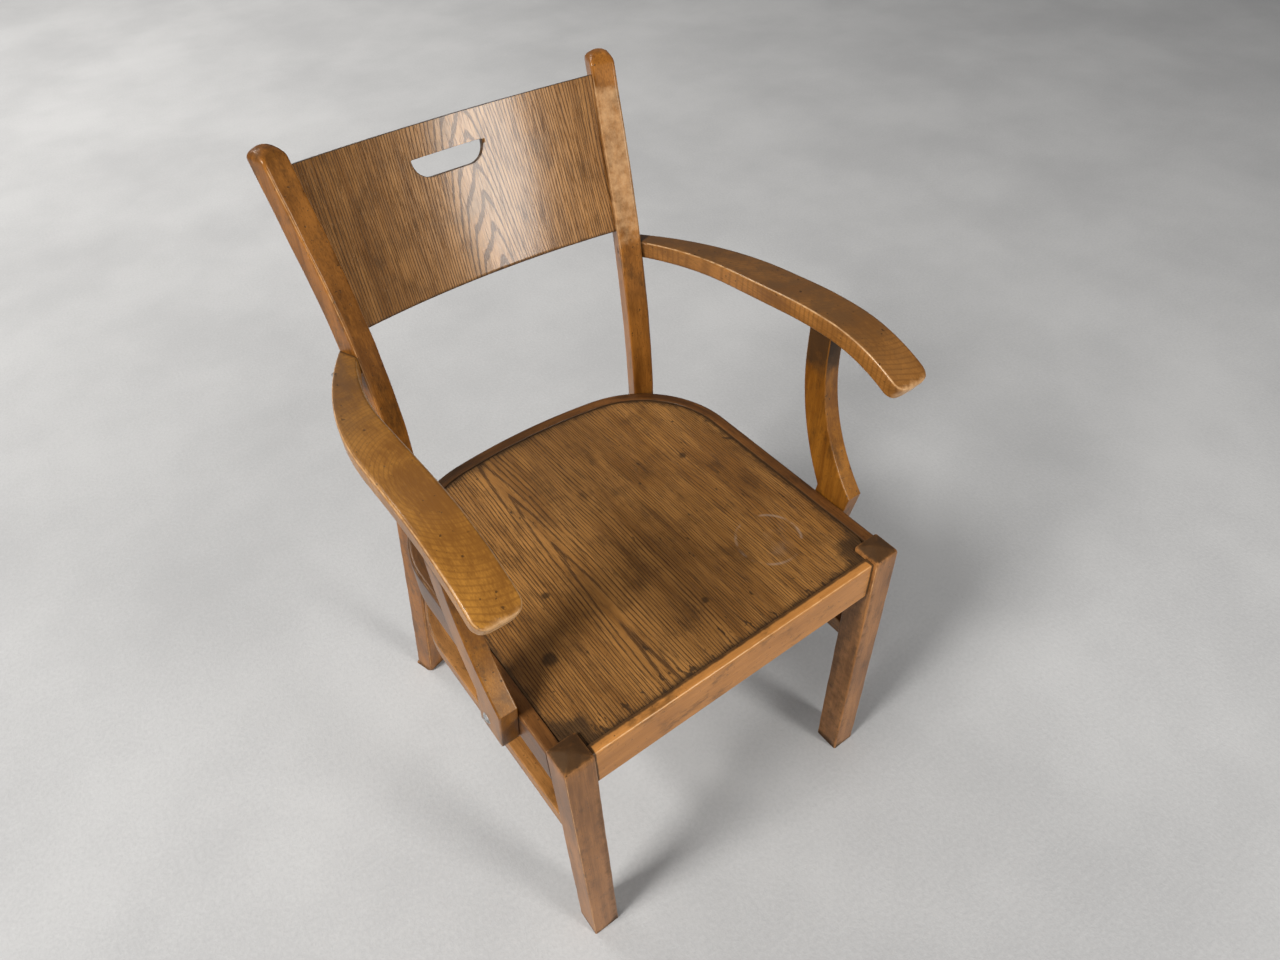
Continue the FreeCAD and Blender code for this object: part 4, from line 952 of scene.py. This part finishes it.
ARM_FINISHES = {
    "left": {"seed": 2.2, "ring_place": (0.30, 0.10), "grey": -0.24,
             "gold": (0.300, 0.125, 0.026, 1.0), "brown": (0.130, 0.050, 0.010, 1.0)},
    "right": {"seed": 5.9, "ring_place": (-0.236, -0.075), "grey": 0.02,
              "gold": (0.370, 0.165, 0.026, 1.0), "brown": (0.160, 0.062, 0.010, 1.0)},
}
arm_u, arm_v, arm_c, arm_s, arm_edge = section_loop(5)
arm_skin, arm_run = arm_rings(arm_u, arm_v, arm_c, arm_s)
for side, hand in (("left", 1), ("right", -1)):
    rings = arm_skin * (hand, 1, 1)
    grain = np.stack([arm_run, arm_skin[..., 0], arm_skin[..., 2]], -1)
    tip_wear = np.clip(1.0 - (arm_run - ARM_FRONT) / TIP_WEAR_REACH, 0, 1)
    at_post = np.clip(1.0 - (arm_run[-1] - arm_run) / POST_SHADE_AND_DIRT_REACH, 0, 1)
    # Dirt and painted shade: the arm goes dark where it meets the post.
    wear_and_shade = np.maximum(arm_edge * (arm_v > -0.9), tip_wear) * (1 - at_post) - at_post * 0.9
    arm = skin("arm_" + side + "_wood", rings, grain, wear_and_shade)
    upward = np.append(np.maximum(arm_s, 0.0) * np.ones(arm_run.shape), [0.0, 0.0])
    arm.data.attributes.new("upward", "FLOAT", "POINT").data.foreach_set("value", upward)
    fitted(arm, "arm_" + side,
           arm_finish("beech_arm_" + side, **ARM_FINISHES[side]))

# Arm supports: beech boards sawn to a sweeping curve that springs from an elbow at the rim,
# bolted to the outside of the seat hoop and dowelled up into the arms.
SUPPORT_THICK = 0.023
SUPPORT_REAR = -0.0865
SUPPORT_FRONT = -0.121
SUPPORT_STRAIGHT = 0.650               # above this both edges are upright
SUPPORT_REAR_RADIUS = 0.410
SUPPORT_FRONT_RADIUS = 0.275
SUPPORT_NOSE = 0.465
SUPPORT_KINK = 0.452
SUPPORT_FOOT_FRONT = -0.178
SUPPORT_FOOT_REAR = -0.128
SUPPORT_HEAD = 0.6925
SUPPORT_ARRIS = 0.0016
SUPPORT_GOLD = (0.27, 0.105, 0.012, 1.0)
SUPPORT_BROWN = (0.110, 0.036, 0.004, 1.0)


def support_edge(edge_y, radius, elbow, foot_y):
    """One long edge of the support in side view, from its foot up: a straight slant to the
    elbow, an arc that becomes upright, and an upright run."""
    foot_z = SHOULDER + RAIL_TOP - RAIL_HEIGHT - (foot_y - LEG_FRONT) * math.tan(SEAT_TILT)
    foot = np.array([foot_y, foot_z])
    up = np.concatenate([np.linspace(elbow, SUPPORT_STRAIGHT, 36),
                         np.linspace(SUPPORT_STRAIGHT, SUPPORT_HEAD, 6)[1:]])
    swept = edge_y - radius + np.sqrt(radius ** 2 - np.maximum(SUPPORT_STRAIGHT - up, 0) ** 2)
    elbow_place = np.array([swept[0], elbow])
    slant = foot + (elbow_place - foot) * np.linspace(0, 1, 14, endpoint=False)[:, None]
    return np.concatenate([slant, np.stack([swept, up], -1)])


support_front = support_edge(SUPPORT_FRONT, SUPPORT_FRONT_RADIUS, SUPPORT_NOSE,
                             SUPPORT_FOOT_FRONT)
support_rear = support_edge(SUPPORT_REAR, SUPPORT_REAR_RADIUS, SUPPORT_KINK, SUPPORT_FOOT_REAR)
support_u, support_v, support_c, support_s, support_loop_edge = section_loop(3)
support_middle = (support_front + support_rear) / 2
support_half = np.linalg.norm(support_rear - support_front, axis=1)[:, None] / 2
support_across = (support_rear - support_front) / (2 * support_half)
for side, hand in (("left", 1), ("right", -1)):
    out = support_u * (SUPPORT_THICK / 2 - SUPPORT_ARRIS) + support_c * SUPPORT_ARRIS
    deep = support_v * (support_half - SUPPORT_ARRIS) + support_s * SUPPORT_ARRIS
    place = support_middle[:, None, :] + support_across[:, None, :] * deep[..., None]
    x = np.broadcast_to(hand * (HALF_FRAME + SUPPORT_THICK / 2 + out), deep.shape)
    rings = np.stack([x, place[..., 0] + FRONT_TO_MIDDLE, place[..., 1]], -1)
    grain = np.stack([place[..., 1], place[..., 0], x], -1)
    # Painted shadow of the arm: each support goes dark towards its top, under the arm.
    painted_arm_shadow = np.interp(place[..., 1], [0.60, 0.64, 0.69], [0.0, 0.75, 1.0])
    wear_and_shade = support_loop_edge * 0.9 - painted_arm_shadow
    support = skin("arm_support_" + side + "_wood", rings, grain, wear_and_shade)
    fitted(support, "arm_support_" + side,
           beech("beech_support_" + side, SUPPORT_GOLD, SUPPORT_BROWN, 15.0 + hand, 0.7, 0.24))

# Corner blocks and dowels: plain unfinished beech, glued in under the seat and inside the
# joints. They keep their CAD shapes.
BLOCK_PALE = (0.55, 0.37, 0.20, 1.0)
BLOCK_DEEP = (0.36, 0.21, 0.10, 1.0)


def raw_beech():
    """Bare beech, a little dusty."""
    finish = Finish("raw_beech")
    place = finish.place()
    fibre = finish.fibres(place, 0.08, 420.0, 3.0, 0.6)
    dust = finish.noise(place, 35.0, 4.0, 0.6)
    colour = finish.blend((fibre * 0.6 + dust * 0.5).ramp(0.35, 0.75), BLOCK_DEEP, BLOCK_PALE)
    return finish.surface(colour, 0.62 + dust * 0.2, fibre, 0.0003)


def kept_shape(nodes, material):
    """Gives the material to CAD nodes that keep their own shape."""
    for node in nodes:
        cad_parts[node].data.materials.clear()
        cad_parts[node].data.materials.append(material)


kept_shape(("corner_block_left", "corner_block_right", "arm_dowels"), raw_beech())

# Screws, bolts, washers and nuts: dull zinc-plated steel. Only the domed bolt heads on the
# outside of the arm supports are seen.
STEEL_PALE = (0.56, 0.57, 0.58, 1.0)
STEEL_DULL = (0.30, 0.29, 0.27, 1.0)


def dull_steel():
    """Zinc-plated steel with dull tarnish and fine scratches."""
    finish = Finish("dull_steel")
    place = finish.place()
    tarnish = finish.noise(place, 260.0, 4.0, 0.6)
    scuff = finish.fibres(place, 0.2, 1500.0, 2.0, 0.5)
    colour = finish.blend(tarnish.ramp(0.40, 0.65), STEEL_PALE, STEEL_DULL)
    return finish.surface(colour, 0.30 + tarnish * 0.3, scuff, 0.00008, metallic=1.0)


kept_shape(("support_bolts", "support_washers", "support_nuts", "arm_screws", "hoop_screws",
            "stretcher_screws"), dull_steel())
